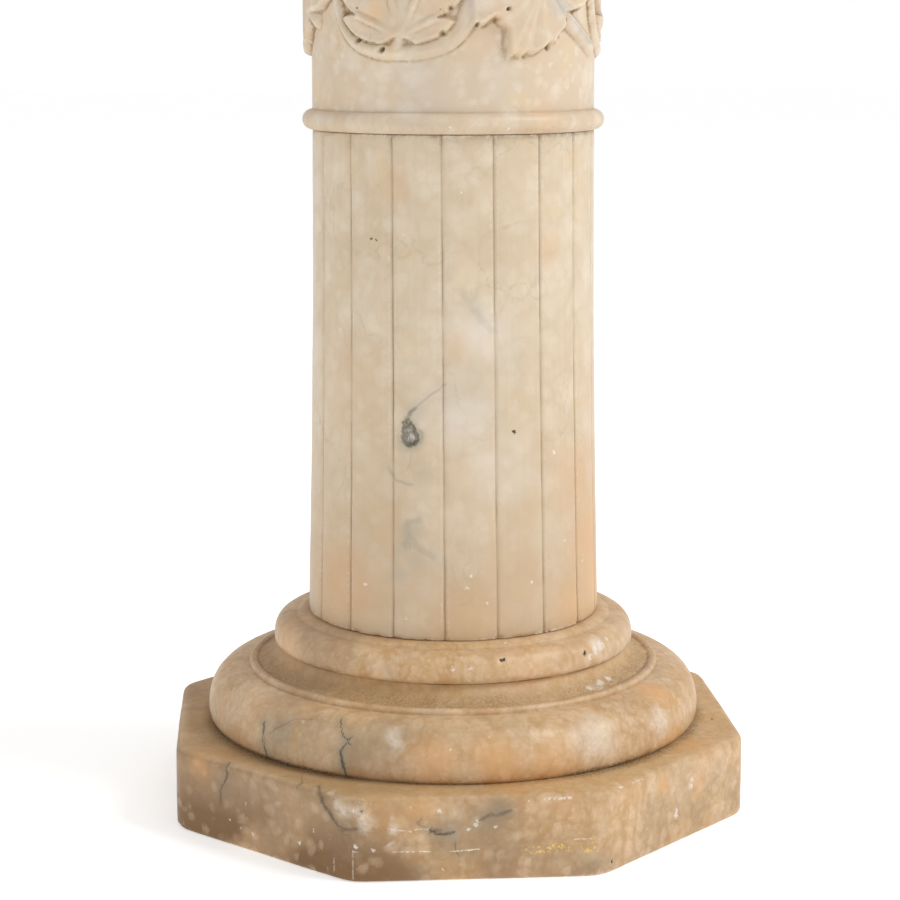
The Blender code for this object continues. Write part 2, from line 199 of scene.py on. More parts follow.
# Capital
CAPITAL_NECK_RADIUS = 0.0790
CAPITAL_NECK_HEIGHT = 0.0030
CAPITAL_TORUS_RADIUS = 0.0850
CAPITAL_TORUS_HEIGHT = 0.0110
CAPITAL_HOLLOW_FOOT = 0.0790
CAPITAL_HOLLOW_TOP = 0.1030
CAPITAL_HOLLOW_HEIGHT = 0.0200
CAPITAL_HOLLOW_BOW = 0.16
CAPITAL_FILLET_RADIUS = 0.1060
CAPITAL_FILLET_HEIGHT = 0.0030
ECHINUS_TOP = 0.1240
ECHINUS_HEIGHT = 0.0170
ECHINUS_BOW = 0.20
ABACUS_FLATS = 0.2760
ABACUS_ROUND = 0.0030

# How uneven the stones' faces are
BASE_UNEVENNESS = 0.00028
DRUM_UNEVENNESS = 0.00012
DRUM_CHIPS = 0.0004
CAPITAL_UNEVENNESS = 0.00022

# Seeds of what is random, so that no two stones are alike
WEATHER_SEEDS = {"base": 41, "capital": 83, "carved_drum": 95}
DUST_SEEDS = {"base": 51, "carved_drum": 61, "capital": 71}
VEIN_SEEDS = {"shaft": 21, "base": 23, "carved_drum": 25}

# How finely the stones are divided
BASE_COLUMNS = 576
DRUM_COLUMNS = 552
CAPITAL_COLUMNS = 480
REED_COLUMNS = 28
SHAFT_ROWS = 168


# Random fields on points


def lattice_value(x, y, z, seed):
    """A fixed random number from 0 to 1 for each cell of a lattice."""
    x, y, z = (axis.astype(np.int64).astype(np.uint32) for axis in (x, y, z))
    mixed = x * np.uint32(73856093) ^ y * np.uint32(19349663) ^ z * np.uint32(83492791)
    mixed = mixed ^ np.uint32(seed * 26544357 % 4294967291)
    for shift, factor in ((15, 2246822519), (13, 3266489917)):
        mixed = (mixed ^ (mixed >> np.uint32(shift))) * np.uint32(factor)
    return (mixed ^ (mixed >> np.uint32(16))) / 4294967295.0


def soft_field(points, seed):
    """Values from -1 to 1 that change smoothly between lattice points one unit apart."""
    cell = np.floor(points)
    part = points - cell
    part = part * part * (3 - 2 * part)
    total = 0.0
    for corner in range(8):
        step = [(corner >> axis) & 1 for axis in range(3)]
        weight = 1.0
        for axis in range(3):
            weight = weight * (part[..., axis] if step[axis] else 1 - part[..., axis])
        at_corner = (cell[..., axis] + step[axis] for axis in range(3))
        total = total + weight * lattice_value(*at_corner, seed)
    return 2 * total - 1


def cloudy(points, size, seed, layers=3):
    """Layers of soft fields. The largest blotches are about size across."""
    total = 0.0
    for layer in range(layers):
        total = total + soft_field(points * (2**layer / size), seed + 17 * layer) / 2**layer
    return total / (2 - 2 ** (1 - layers))


def ramp(values, low, high):
    """0 up to low, 1 from high on, and smooth between them."""
    share = np.clip((values - low) / (high - low), 0, 1)
    return share * share * (3 - 2 * share)


# Outlines

# A quarter round's fullness is 2 for a circle, and more for a fuller curve
CIRCULAR = 2.0


def quarter_round(wide, narrow, fullness, count):
    """From the widest point (radius, height) to the narrow end, along a quarter of a superellipse."""
    turn = np.linspace(0, math.pi / 2, count)
    across = np.cos(turn).clip(0, 1) ** (2 / fullness)
    along = np.sin(turn) ** (2 / fullness)
    radius = narrow[0] + (wide[0] - narrow[0]) * across
    return list(zip(radius, wide[1] + (narrow[1] - wide[1]) * along))


def straight(start, end, count):
    """Evenly spaced points from start to end, both ends kept."""
    return list(zip(np.linspace(start[0], end[0], count), np.linspace(start[1], end[1], count)))


def bowed(start, end, bow, count):
    """From start to end along an arc. It stands off its chord by the share bow, outwards if positive."""
    share = np.linspace(0, 1, count)
    off = 4 * bow * share * (1 - share)
    wide, tall = end[0] - start[0], end[1] - start[1]
    return list(zip(start[0] + wide * share + tall * off, start[1] + tall * share - wide * off))


def half_round(radius, foot, height, out, count):
    turn = np.linspace(0, math.pi, count)
    return list(zip(radius + out * np.sin(turn), foot + height / 2 * (1 - np.cos(turn))))


def octagon_reach(angles):
    """How far an octagon reaches, one unit from the axis to a flat, with its corners rounded."""
    facing = np.cos(angles[:, None] - np.arange(8) * math.pi / 4).clip(0, 1)
    return (facing**CORNER_SHARPNESS).sum(1) ** (-1 / CORNER_SHARPNESS)


# Skins: closed meshes from rings of points


class Rings:
    """Collects the rings of a stone from its foot to its top, and how much dust lies on each."""

    def __init__(self):
        self.rows = []

    def octagonal(self, points, dust=0.0):
        self.rows += [(0.0, radius, height, dust) for radius, height in points]

    def blend(self, start, end, height, count, dust=0.0, closing=False):
        """From an octagon to a circle at one height, or from a circle to an octagon if it is closing."""
        for share in np.linspace(0, 1, count + 2)[1:-1]:
            if closing:
                self.rows.append((1 - share, (end, start), height, dust))
            else:
                self.rows.append((share, (start, end), height, dust))

    def round(self, points, dust=0.0):
        self.rows += [(1.0, radius, height, dust) for radius, height in points]

    def grid(self, columns):
        angles = np.arange(columns) * FULL_TURN / columns
        octagon = octagon_reach(angles)
        points = np.zeros((len(self.rows), columns, 3))
        for row, (share, radius, height, _) in enumerate(self.rows):
            flat, circle = radius if isinstance(radius, tuple) else (radius, radius)
            reach = (1 - share) * flat * octagon + share * circle
            points[row, :, 0] = reach * np.cos(angles)
            points[row, :, 1] = reach * np.sin(angles)
            points[row, :, 2] = height
        return points

    def dust(self, columns):
        return np.repeat(np.array([[row[3]] for row in self.rows]), columns, axis=1)


def outward(grid):
    """The surface's direction at each point of a grid of rings."""
    around = np.roll(grid, -1, axis=1) - np.roll(grid, 1, axis=1)
    rising = np.gradient(grid, axis=0)
    normal = np.cross(around, rising)
    return normal / np.linalg.norm(normal, axis=2, keepdims=True).clip(1e-9)


def blurred(values, reach):
    """The mean over a square window of a grid that closes round its rings."""
    for axis, mode in ((0, "edge"), (1, "wrap")):
        pad = [(reach, reach) if i == axis else (0, 0) for i in range(values.ndim)]
        padded = np.pad(values, pad, mode=mode)
        length, window = values.shape[axis], 2 * reach + 1
        values = sum(padded.take(range(k, k + length), axis=axis) for k in range(window)) / window
    return values


def standing_out(grid, reach):
    """How far each point stands out of its surroundings. Edges are positive and creases are negative."""
    return ((grid - blurred(grid, reach)) * outward(grid)).sum(2)


def dented(grid, centre, radius, depth):
    """How deep a dent is at each point. The centre is in millimetres."""
    away = np.linalg.norm(grid - np.array(centre) * MM, axis=2) / radius
    return depth * ramp(-away, -1, -0.25)


def skin(name, grid, marks):
    """A closed mesh over a grid of rings, with its marks stored on its points."""
    rings, columns, _ = grid.shape
    index = np.arange(rings * columns).reshape(rings, columns)
    beside = np.roll(index, -1, axis=1)
    foot, top = rings * columns, rings * columns + 1
    quads = np.stack([index[:-1], beside[:-1], beside[1:], index[1:]], axis=-1).reshape(-1, 4)
    under = [(foot, b, a) for a, b in zip(index[0], beside[0])]
    over = [(top, a, b) for a, b in zip(index[-1], beside[-1])]
    poles = [(0, 0, grid[0, :, 2].mean()), (0, 0, grid[-1, :, 2].mean())]
    mesh = bpy.data.meshes.new(name)
    mesh.from_pydata(grid.reshape(-1, 3).tolist() + poles, [], quads.tolist() + under + over)
    mesh.shade_smooth()
    with_ends = {}
    for mark, values in marks.items():
        with_ends[mark] = np.concatenate([values.ravel(), [values[0].mean(), values[-1].mean()]])
    store_marks(mesh, with_ends)
    return mesh


def place(name, mesh, material, slot):
    """A finished stone: it rides on the column, replaces its solid and takes the given material as its
    finish. The slot is not used.
    """
    stone = bpy.data.objects.new(name + "_stone", mesh)
    bpy.context.scene.collection.objects.link(stone)
    mesh.materials.clear()
    mesh.materials.append(material)
    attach(stone, "root")
    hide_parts(name)
    return stone


# Node trees as expressions


class Value:
    """A socket of a node tree. Sums and products with it add Math nodes."""

    def __init__(self, tree, socket):
        self.tree, self.socket = tree, socket

    def math(self, operation, *others):
        inputs = dict(enumerate((self, *others)))
        return node(self.tree, "ShaderNodeMath", {"operation": operation}, inputs)

    def reflected(self, operation, other):
        return node(self.tree, "ShaderNodeMath", {"operation": operation}, {0: other, 1: self})

    def __add__(self, other):
        return self.math("ADD", other)

    def __sub__(self, other):
        return self.math("SUBTRACT", other)

    def __mul__(self, other):
        return self.math("MULTIPLY", other)

    def __truediv__(self, other):
        return self.math("DIVIDE", other)

    def __pow__(self, other):
        return self.math("POWER", other)

    def __rsub__(self, other):
        return self.reflected("SUBTRACT", other)

    def __rtruediv__(self, other):
        return self.reflected("DIVIDE", other)

    __radd__ = __add__
    __rmul__ = __mul__

    def clipped(self):
        return node(self.tree, "ShaderNodeClamp", {}, {0: self})

    def smooth(self, low, high):
        """0 up to low, 1 from high on, and smooth between them. It falls if low is above high."""
        settings = {"interpolation_type": "SMOOTHSTEP"}
        if low > high:
            falling = {0: self, 1: high, 2: low, 3: 1.0, 4: 0.0}
            return node(self.tree, "ShaderNodeMapRange", settings, falling)
        return node(self.tree, "ShaderNodeMapRange", settings, {0: self, 1: low, 2: high})

    def vector(self, operation, other, scale=None, output=0):
        inputs = {0: self, 1: other}
        if scale is not None:
            inputs["Scale"] = scale
        return node(self.tree, "ShaderNodeVectorMath", {"operation": operation}, inputs, output)


def node(tree, kind, settings=None, inputs=None, output=0):
    """Adds a node: its settings first, then the values or links of its sockets. Returns one output."""
    made = tree.nodes.new(kind)
    made.location = (220 * (len(tree.nodes) % 12), -260 * (len(tree.nodes) // 12))
    for setting, value in (settings or {}).items():
        setattr(made, setting, value)
    for key, value in (inputs or {}).items():
        socket = made.inputs[key]
        if isinstance(value, Value):
            tree.links.new(value.socket, socket)
        else:
            socket.default_value = value
    return Value(tree, made.outputs[output]) if made.outputs else made


# What shows on a stone at its own place, in millimetres

# A vein is a line of points, with its half width, its darkness and how wide the grey round it is
SHAFT_VEINS = (
    ([(-29.2, -71.4, 221.5), (-27.5, -72.2, 225.5), (-24.5, -73.2, 227.5)], 0.8, 0.8, 4.0),
    ([(-24.5, -73.2, 227.5), (-17.8, -74.7, 233.5), (-10.1, -74.7, 238.5)], 0.5, 0.30, 6.0),
    ([(-25.0, -73.4, 215.5), (-22.8, -74.0, 212.5), (-24.2, -73.6, 207.5)], 1.2, 0.5, 5.0),
    ([(-33, -70, 208), (-27, -72.5, 203), (-29, -72, 196)], 0.5, 0.18, 5.0),
    ([(-39, -66.6, 194.4), (-35, -67.8, 187.7), (-27, -72.9, 187)], 0.8, 0.30, 3.0),
    ([(-2.5, -76, 287.5), (2.6, -76.1, 280), (8.8, -75.6, 273), (15.8, -73.2, 265.5)], 1.4, 0.16, 7.0),
    ([(6.7, -75.7, 291.5), (2.6, -76.1, 280)], 1.2, 0.12, 5.0),
    ([(-23, -74.9, 168), (-29.3, -72.7, 166), (-28.5, -73.2, 158), (-31.5, -72.2, 153)], 1.7, 0.28, 7.0),
    ([(-27, -74, 156.5), (-20.7, -76, 151.4), (-16.6, -76.9, 147.3)], 1.6, 0.24, 7.0),
)
DRUM_VEINS = (
    ([(4.2, -78.1, 440), (2.2, -78.4, 425), (-1.8, -78.5, 418), (-12, -77.0, 409)], 1.5, 0.16, 6.0),
    (
        [
            (47, -64.5, 434),
            (52.7, -59.7, 426),
            (58.1, -54.1, 422),
            (64.9, -46.5, 417),
            (69.6, -35.7, 411),
        ],
        1.0,
        0.4,
        5.5,
    ),
    ([(49, -63, 440), (54, -59, 431), (60, -53, 427)], 1.3, 0.25, 6.0),
)
BASE_VEINS = (
    ([(-105, -81, 63), (-104.7, -84, 56), (-104.6, -86, 50), (-102.5, -85, 43.4)], 0.70, 0.85, 6.0),
    ([(-104, -85, 56), (-95, -92, 63), (-88, -95, 67), (-79, -99, 69)], 0.50, 0.35, 7.0),
    ([(-66, -107, 70), (-65, -113, 65), (-63.3, -116, 63), (-66.2, -117, 57.4)], 0.60, 0.85, 5.0),
    ([(-66.2, -117, 57.4), (-65.4, -118.4, 52), (-63.5, -117, 44)], 0.80, 0.95, 6.0),
    ([(-63.3, -116, 63), (-61, -116.6, 64.5)], 0.80, 0.9, 3.0),
    ([(-124, -87.3, 43.2), (-125, -90.6, 39), (-128.3, -87.4, 30), (-128.4, -87.3, 21)], 0.85, 0.95, 6),
    (
        [(-95.4, -113.6, 43.4), (-86.8, -113.3, 43.4), (-86.5, -124.7, 43.3), (-88, -127, 41)],
        0.4,
        0.7,
        3.5,
    ),
    (
        [(-78.3, -128.6, 43.4), (-78.4, -136, 42), (-75.3, -140.4, 37), (-68.4, -147.2, 27.5)],
        0.85,
        0.95,
        5,
    ),
    ([(-68.4, -147.2, 27.5), (-62, -151, 27.7), (-58, -152, 28.5)], 0.65, 0.8, 4.0),
    ([(-70, -146, 31), (-67, -148.5, 22), (-66, -149, 14)], 0.50, 0.25, 9.0),
    ([(-24, -152.5, 27.0), (-20, -152.5, 25.2), (-12, -152.5, 25.0)], 0.80, 0.9, 6.0),
    ([(-24, -152.5, 27.0), (-30, -152.5, 30.0), (-27, -152.5, 33)], 0.40, 0.4, 5.0),
    (
        [(1.5, -152.5, 31.5), (6.5, -152.5, 33.8), (11.0, -152.5, 33.2), (16.0, -152.5, 35.5)],
        0.75,
        0.60,
        9.0,
    ),
    ([(-10, -152.5, 20), (-9.5, -152.5, 14)], 0.35, 0.5, 4.0),
    ([(92, 92, 62), (96, 100, 50), (95, 103, 43)], 0.75, 0.8, 5.0),
    ([(-20, 131, 66), (-12, 134, 56), (-17, 134, 44)], 0.70, 0.7, 5.0),
    ([(110, 105, 43), (114, 101, 28), (108, 108, 12)], 0.75, 0.8, 6.0),
    ([(-40, 152.5, 40), (-48, 152.5, 26), (-40, 152.5, 14), (-44, 152.5, 2)], 0.75, 0.8, 6.0),
)

# A patch is its centre, its radius and its strength
SHAFT_STAINS = (
    (-26, -74.0, 160, 9, 0.65),
    (-30, -72.5, 152, 7, 0.5),
    (-25, -75.0, 145, 10, 0.5),
    (-33, -71.0, 139, 9, 0.5),
    (-14, -77.0, 147, 8, 0.3),
    (-30, -71.0, 206, 10, 0.6),
    (-25, -73.0, 225, 9, 0.4),
    (-22, -74.0, 190, 9, 0.35),
    (5, -76.0, 278, 11, 0.35),
    (4, -77.0, 232, 24, 0.25),
    (29, -71.0, 250, 20, 0.2),
)
SHAFT_WARMTH = (
    (66, -43, 180, 34, 0.5),
    (72, -33, 150, 36, 0.9),
    (75, -22, 122, 46, 1.0),
    (62, -47, 112, 30, 0.8),
    (-66, -43, 125, 40, 0.55),
    (-60, -50, 235, 44, 0.22),
    (72, -30, 235, 44, 0.22),
    (0, -80, 112, 30, 0.35),
    (44, -62, 305, 14, 0.5),
    (-4, -76, 258, 12, 0.35),
    (-40, -66, 340, 18, 0.35),
)
DRUM_STAINS = (
    (50, -62, 430, 10, 0.6),
    (62, -50, 420, 10, 0.5),
    (3, -78, 430, 9, 0.35),
    (-20, -72, 386, 34, 0.30),
    (12, -74, 392, 26, 0.22),
)
DRUM_WARMTH = (
    (-44, -66, 424, 12, 0.8),
    (-22, -76, 430, 9, 0.45),
    (16, -76, 424, 9, 0.5),
    (-69, -30, 380, 14, 0.4),
    (40, -64, 372, 14, 0.4),
)
BASE_STAINS = (
    (-96, -92, 60, 22, 0.60),
    (-60, -119, 60, 20, 0.55),
    (-45, -121, 66, 18, 0.45),
    (-80, -107, 66, 22, 0.45),
    (-125, -87, 30, 14, 0.5),
    (-66, -149, 24, 14, 0.6),
    (-15, -152, 24, 18, 0.7),
    (8, -152, 33, 15, 0.7),
    (-2, -152, 17, 14, 0.5),
    (6, -152, 22, 26, 0.45),
    (8, -152, 36, 11, 0.90),
    (9, -152, 35, 5, 0.95),
    (-33, -152.5, 1, 14, 0.8),
    (57, -152, 3, 20, 0.45),
    (95, 100, 55, 22, 0.5),
    (-15, 133, 58, 22, 0.5),
    (-43, 152, 25, 20, 0.5),
)
BASE_WARMTH = (
    (103, -68, 71, 17, 0.9),
    (13, -134, 53, 24, 0.7),
    (40, -128, 52, 20, 0.6),
    (-20, -134, 55, 20, 0.5),
    (-48, -152, 34, 16, 0.6),
    (-135, -78, 36, 12, 0.9),
    (-30, -152.5, 36, 12, 0.6),
    (101, -114, 35, 10, 0.9),
    (122, -95, 28, 14, 0.5),
    (118, -78, 43, 24, 0.45),
    (-122, -72, 43, 22, 0.30),
    (-90, -30, 90, 26, 0.5),
    (30, -92, 95, 24, 0.3),
    (60, 120, 55, 26, 0.6),
    (-120, 60, 52, 24, 0.5),
    (20, 152, 30, 18, 0.6),
    (140, 20, 28, 16, 0.5),
)

# A spot is its centre and its radius
SHAFT_PALING = (
    (-2.0, -76.0, 226.0, 24.0),
    (10.0, -76.0, 262.0, 22.0),
    (22.0, -74.0, 192.0, 22.0),
)
SHAFT_SPECKS = (
    (48.3, -60.6, 200.0, 1.2),
    (55.2, -56.2, 151.6, 0.9),
    (66.8, -42.3, 137.3, 1.0),
    (66.9, -42.0, 140.0, 0.8),
    (-51.3, -60.4, 130.6, 1.0),
    (3.1, -79.1, 138.9, 0.8),
    (1.5, -79.3, 132.1, 1.0),
    (36.0, -70.5, 132.5, 0.9),
    (11.6, -78.4, 123.6, 0.9),
    (-62.8, -43.4, 263.4, 0.8),
    (-19.6, -76.2, 153.1, 0.6),
    (-30.5, -74.0, 115.0, 0.8),
    (-2.0, -75.6, 337.0, 0.7),
    (-31.0, -69.0, 320.0, 0.5),
    (-30.8, -69.1, 315.5, 0.5),
)
SHAFT_PITS = (
    (25.9, -72.8, 213.1, 1.1),
    (-47.0, -59.6, 312.8, 0.8),
    (-44.5, -61.4, 312.0, 0.6),
)
DRUM_SPECKS = (
    (-8.0, -80.0, 370.0, 0.8),
    (22.0, -77.0, 369.0, 0.7),
    (58.0, -55.0, 371.0, 1.0),
)
DRUM_PITS = (
    (-14.3, -78.2, 427.2, 0.8),
    (-12.3, -78.1, 427.9, 0.7),
    (-10.8, -77.9, 425.7, 0.8),
    (-57.5, -52.0, 429.2, 0.7),
    (-55.6, -54.5, 429.6, 0.7),
    (-53.5, -57.5, 429.0, 0.7),
)
BASE_SPECKS = (
    (70.2, -67.5, 94.0, 2.9),
    (73.6, -63.0, 95.5, 2.6),
    (66.6, -72.0, 91.6, 2.2),
    (77.5, -57.0, 97.0, 1.5),
    (-7.5, -97.5, 94.0, 1.3),
    (1.0, -98.0, 94.2, 0.9),
    (20.8, -81.5, 103.2, 0.8),
    (66.0, -80.0, 77.0, 2.2),
    (72.4, -72.2, 77.0, 2.6),
    (78.0, -66.0, 78.0, 1.8),
    (-85.3, -97.8, 66.8, 1.2),
    (8.4, -129.4, 66.9, 1.0),
    (-12.0, -134.0, 62.0, 0.8),
    (-146.0, -50.0, 41.0, 1.8),
    (-33.0, -152.5, 38.5, 0.8),
    (-0.8, -152.5, 28.9, 1.2),
    (0.0, -152.5, 31.0, 0.7),
    (-4.1, -152.5, 26.7, 0.8),
    (9.2, -152.5, 27.9, 0.8),
    (26.0, -152.5, 40.4, 0.7),
    (-17.4, -152.5, 6.1, 0.8),
    (-52.3, -152.5, 16.8, 1.2),
    (-18.9, -152.5, 36.4, 1.4),
    (-60.5, -151.5, 19.0, 1.2),
    (-62.0, -151.0, 37.5, 1.3),
    (-124.0, -92.0, 14.0, 0.7),
    (-118.0, -97.5, 11.0, 0.7),
    (-112.0, -103.6, 10.0, 0.8),
    (-81.0, -134.6, 22.0, 0.9),
    (108.1, -107.6, 14.8, 1.8),
    (108.3, -107.2, 17.5, 1.6),
    (118.0, -97.7, 31.0, 1.6),
    (118.2, -97.5, 28.0, 1.2),
    (-88.0, -127.7, 13.0, 1.2),
    (-115.0, -100.6, 25.0, 0.9),
)
BASE_VEILS = (
    (-66.0, -148.5, 35.0, 6.0),
    (-59.0, -152.0, 36.5, 6.5),
    (-72.0, -140.0, 41.0, 3.5),
    (-56.0, -152.4, 31.0, 6.0),
    (-41.0, -152.5, 29.5, 4.0),
    (-40.5, -152.5, 21.0, 2.6),
    (-26.5, -152.5, 29.5, 3.4),
    (71.5, -66.0, 94.5, 5.0),
    (70.0, -76.5, 76.8, 5.5),
    (22.0, -130.0, 62.0, 5.0),
    (-40.0, -124.0, 66.0, 6.0),
    (118.0, -97.7, 29.5, 3.5),
    (64.0, -116.0, 61.0, 14.0),
    (102.0, -87.0, 59.0, 10.0),
)
BASE_PITS = (
    (17.4, -94.6, 96.7, 1.3),
    (19.3, -94.2, 96.9, 0.9),
    (62.9, -74.2, 94.0, 1.4),
    (-57.5, -152.3, 36.5, 0.9),
    (68.7, -147.0, 5.9, 1.0),
    (141.0, -31.6, 43.4, 0.8),
    (-134.9, -1.0, 55.7, 0.9),
)

# A scratch is its start, its end, its half width and its strength
BASE_SCRATCHES = (
    ((-63.0, -151.5, 16.2), (-24.1, -152.5, 15.7), 0.32, 0.75),
    ((-13.6, -152.5, 15.2), (1.0, -152.5, 16.2), 0.32, 0.85),
    ((49.0, -152.5, 20.1), (57.7, -152.2, 19.9), 0.35, 0.6),
    ((-61.9, -151.1, 17.0), (-62.0, -151.0, 1.8), 0.40, 0.35),
    ((-71.2, -144.5, 10.6), (-71.2, -144.4, 3.3), 0.35, 0.4),
    ((-44.5, -152.5, 28.0), (-33.0, -152.5, 26.3), 0.42, 0.55),
    ((-31.0, -152.5, 27.2), (-24.5, -152.5, 27.4), 0.38, 0.60),
    ((34.0, -152.0, 41.2), (47.0, -152.0, 41.6), 0.70, 0.75),
    ((73.0, -141.0, 42.5), (87.0, -128.0, 42.3), 0.55, 0.75),
)
# The hole with crystals is three rounded hollows that run together, the widest below
CRYSTAL_VOID = (
    (-28.0, -72.3, 210.6, 4.9),
    (-28.7, -71.9, 214.4, 4.0),
    (-29.6, -71.5, 218.2, 2.7),
)

# A dent in the base is its centre, and its radius and depth in metres
BASE_DENTS = (
    ((72.0, -65.5, 94.0), 0.0062, 0.0014),
    ((63.8, -73.6, 93.5), 0.0028, 0.0011),
    ((17.8, -94.6, 96.7), 0.0022, 0.0014),
    ((-63.5, -150.5, 38.0), 0.0080, 0.0010),
    ((-75.5, -139.4, 42.0), 0.0060, 0.0009),
    ((78.0, -136.0, 43.0), 0.0070, 0.0009),
    ((-127.0, -87.0, 42.0), 0.0050, 0.0008),
    ((70.0, -76.0, 76.5), 0.0060, 0.0006),
    ((-20.0, -152.5, 26.0), 0.0040, 0.0007),
)

# Worn gilding on the plinth's front: where it starts and ends, and its height
GILT_LEFT, GILT_RIGHT, GILT_HEIGHT = 22.0, 60.0, 15.4


def vein_marks(points, normals, veins, seed):
    """How far off the nearest vein lies, in its half widths, and how dark it and its halo are."""
    wander = np.stack([cloudy(points, 0.009, seed + axis, 3) for axis in range(3)], axis=-1)
    points = points + 0.0022 * wander
    nearest = np.full(points.shape[:-1], 9.0)
    side, dark, grey = (np.zeros_like(nearest) for _ in range(3))
    for line, half_width, darkness, halo in veins:
        for start, end in zip(line, line[1:]):
            start = np.array(start) * MM
            run = np.array(end) * MM - start
            length = np.linalg.norm(run)
            along = (points - start) @ run / length**2
            off = points - start - along.clip(0, 1)[..., None] * run
            away = np.linalg.norm(off, axis=-1)
            beyond = np.maximum(-along, along - 1).clip(0) * length
            sign = np.sign((np.cross(run, normals) * off).sum(-1))
            closer = away < nearest
            nearest = np.where(closer, away, nearest)
            side = np.where(closer, sign * away / (half_width * MM), side)
            fading = darkness * ramp(-away, -3.6 * MM, -2.4 * MM) * ramp(-beyond, -1.5 * MM, 0)
            dark = np.where(closer, fading, dark)
            grey = np.maximum(grey, darkness * ramp(-away, -halo * MM, 0))
    return {"vein_side": side, "vein_dark": dark, "vein_grey": grey}


def patch_mark(points, patches, seed):
    """How strongly a point lies in soft patches with wandering edges."""
    wander = np.stack([cloudy(points, 0.02, seed + axis, 3) for axis in range(3)], axis=-1)
    points = points + 0.006 * wander
    total = np.zeros(points.shape[:-1])
    for x, y, z, radius, strength in patches:
        away = np.linalg.norm(points - np.array((x, y, z)) * MM, axis=-1) / (radius * MM)
        total = np.maximum(total, strength * ramp(-away, -1.0, -0.1))
    return total


def stone_marks(points, normals, veins, stains, warmth, seed):
    return {
        **vein_marks(points, normals, veins, seed),
        "stain": patch_mark(points, stains, seed + 5),
        "warmth": patch_mark(points, warmth, seed + 9),
    }


# Colours and finish that the stones share
HONEY = (0.78, 0.58, 0.32)
THREAD = (0.46, 0.37, 0.24)
FRESH_CHIP = (0.90, 0.86, 0.80)
WORN_EDGE = (0.92, 0.88, 0.81)
SOFT_POLISH = 0.42
STONE_IOR = 1.52
GLOW_DEPTHS = (0.012, 0.007, 0.004)
CLOUD_SCALE = 20.0
GRAIN_SCALE = 430.0
SMALL_NODULES = 2.3


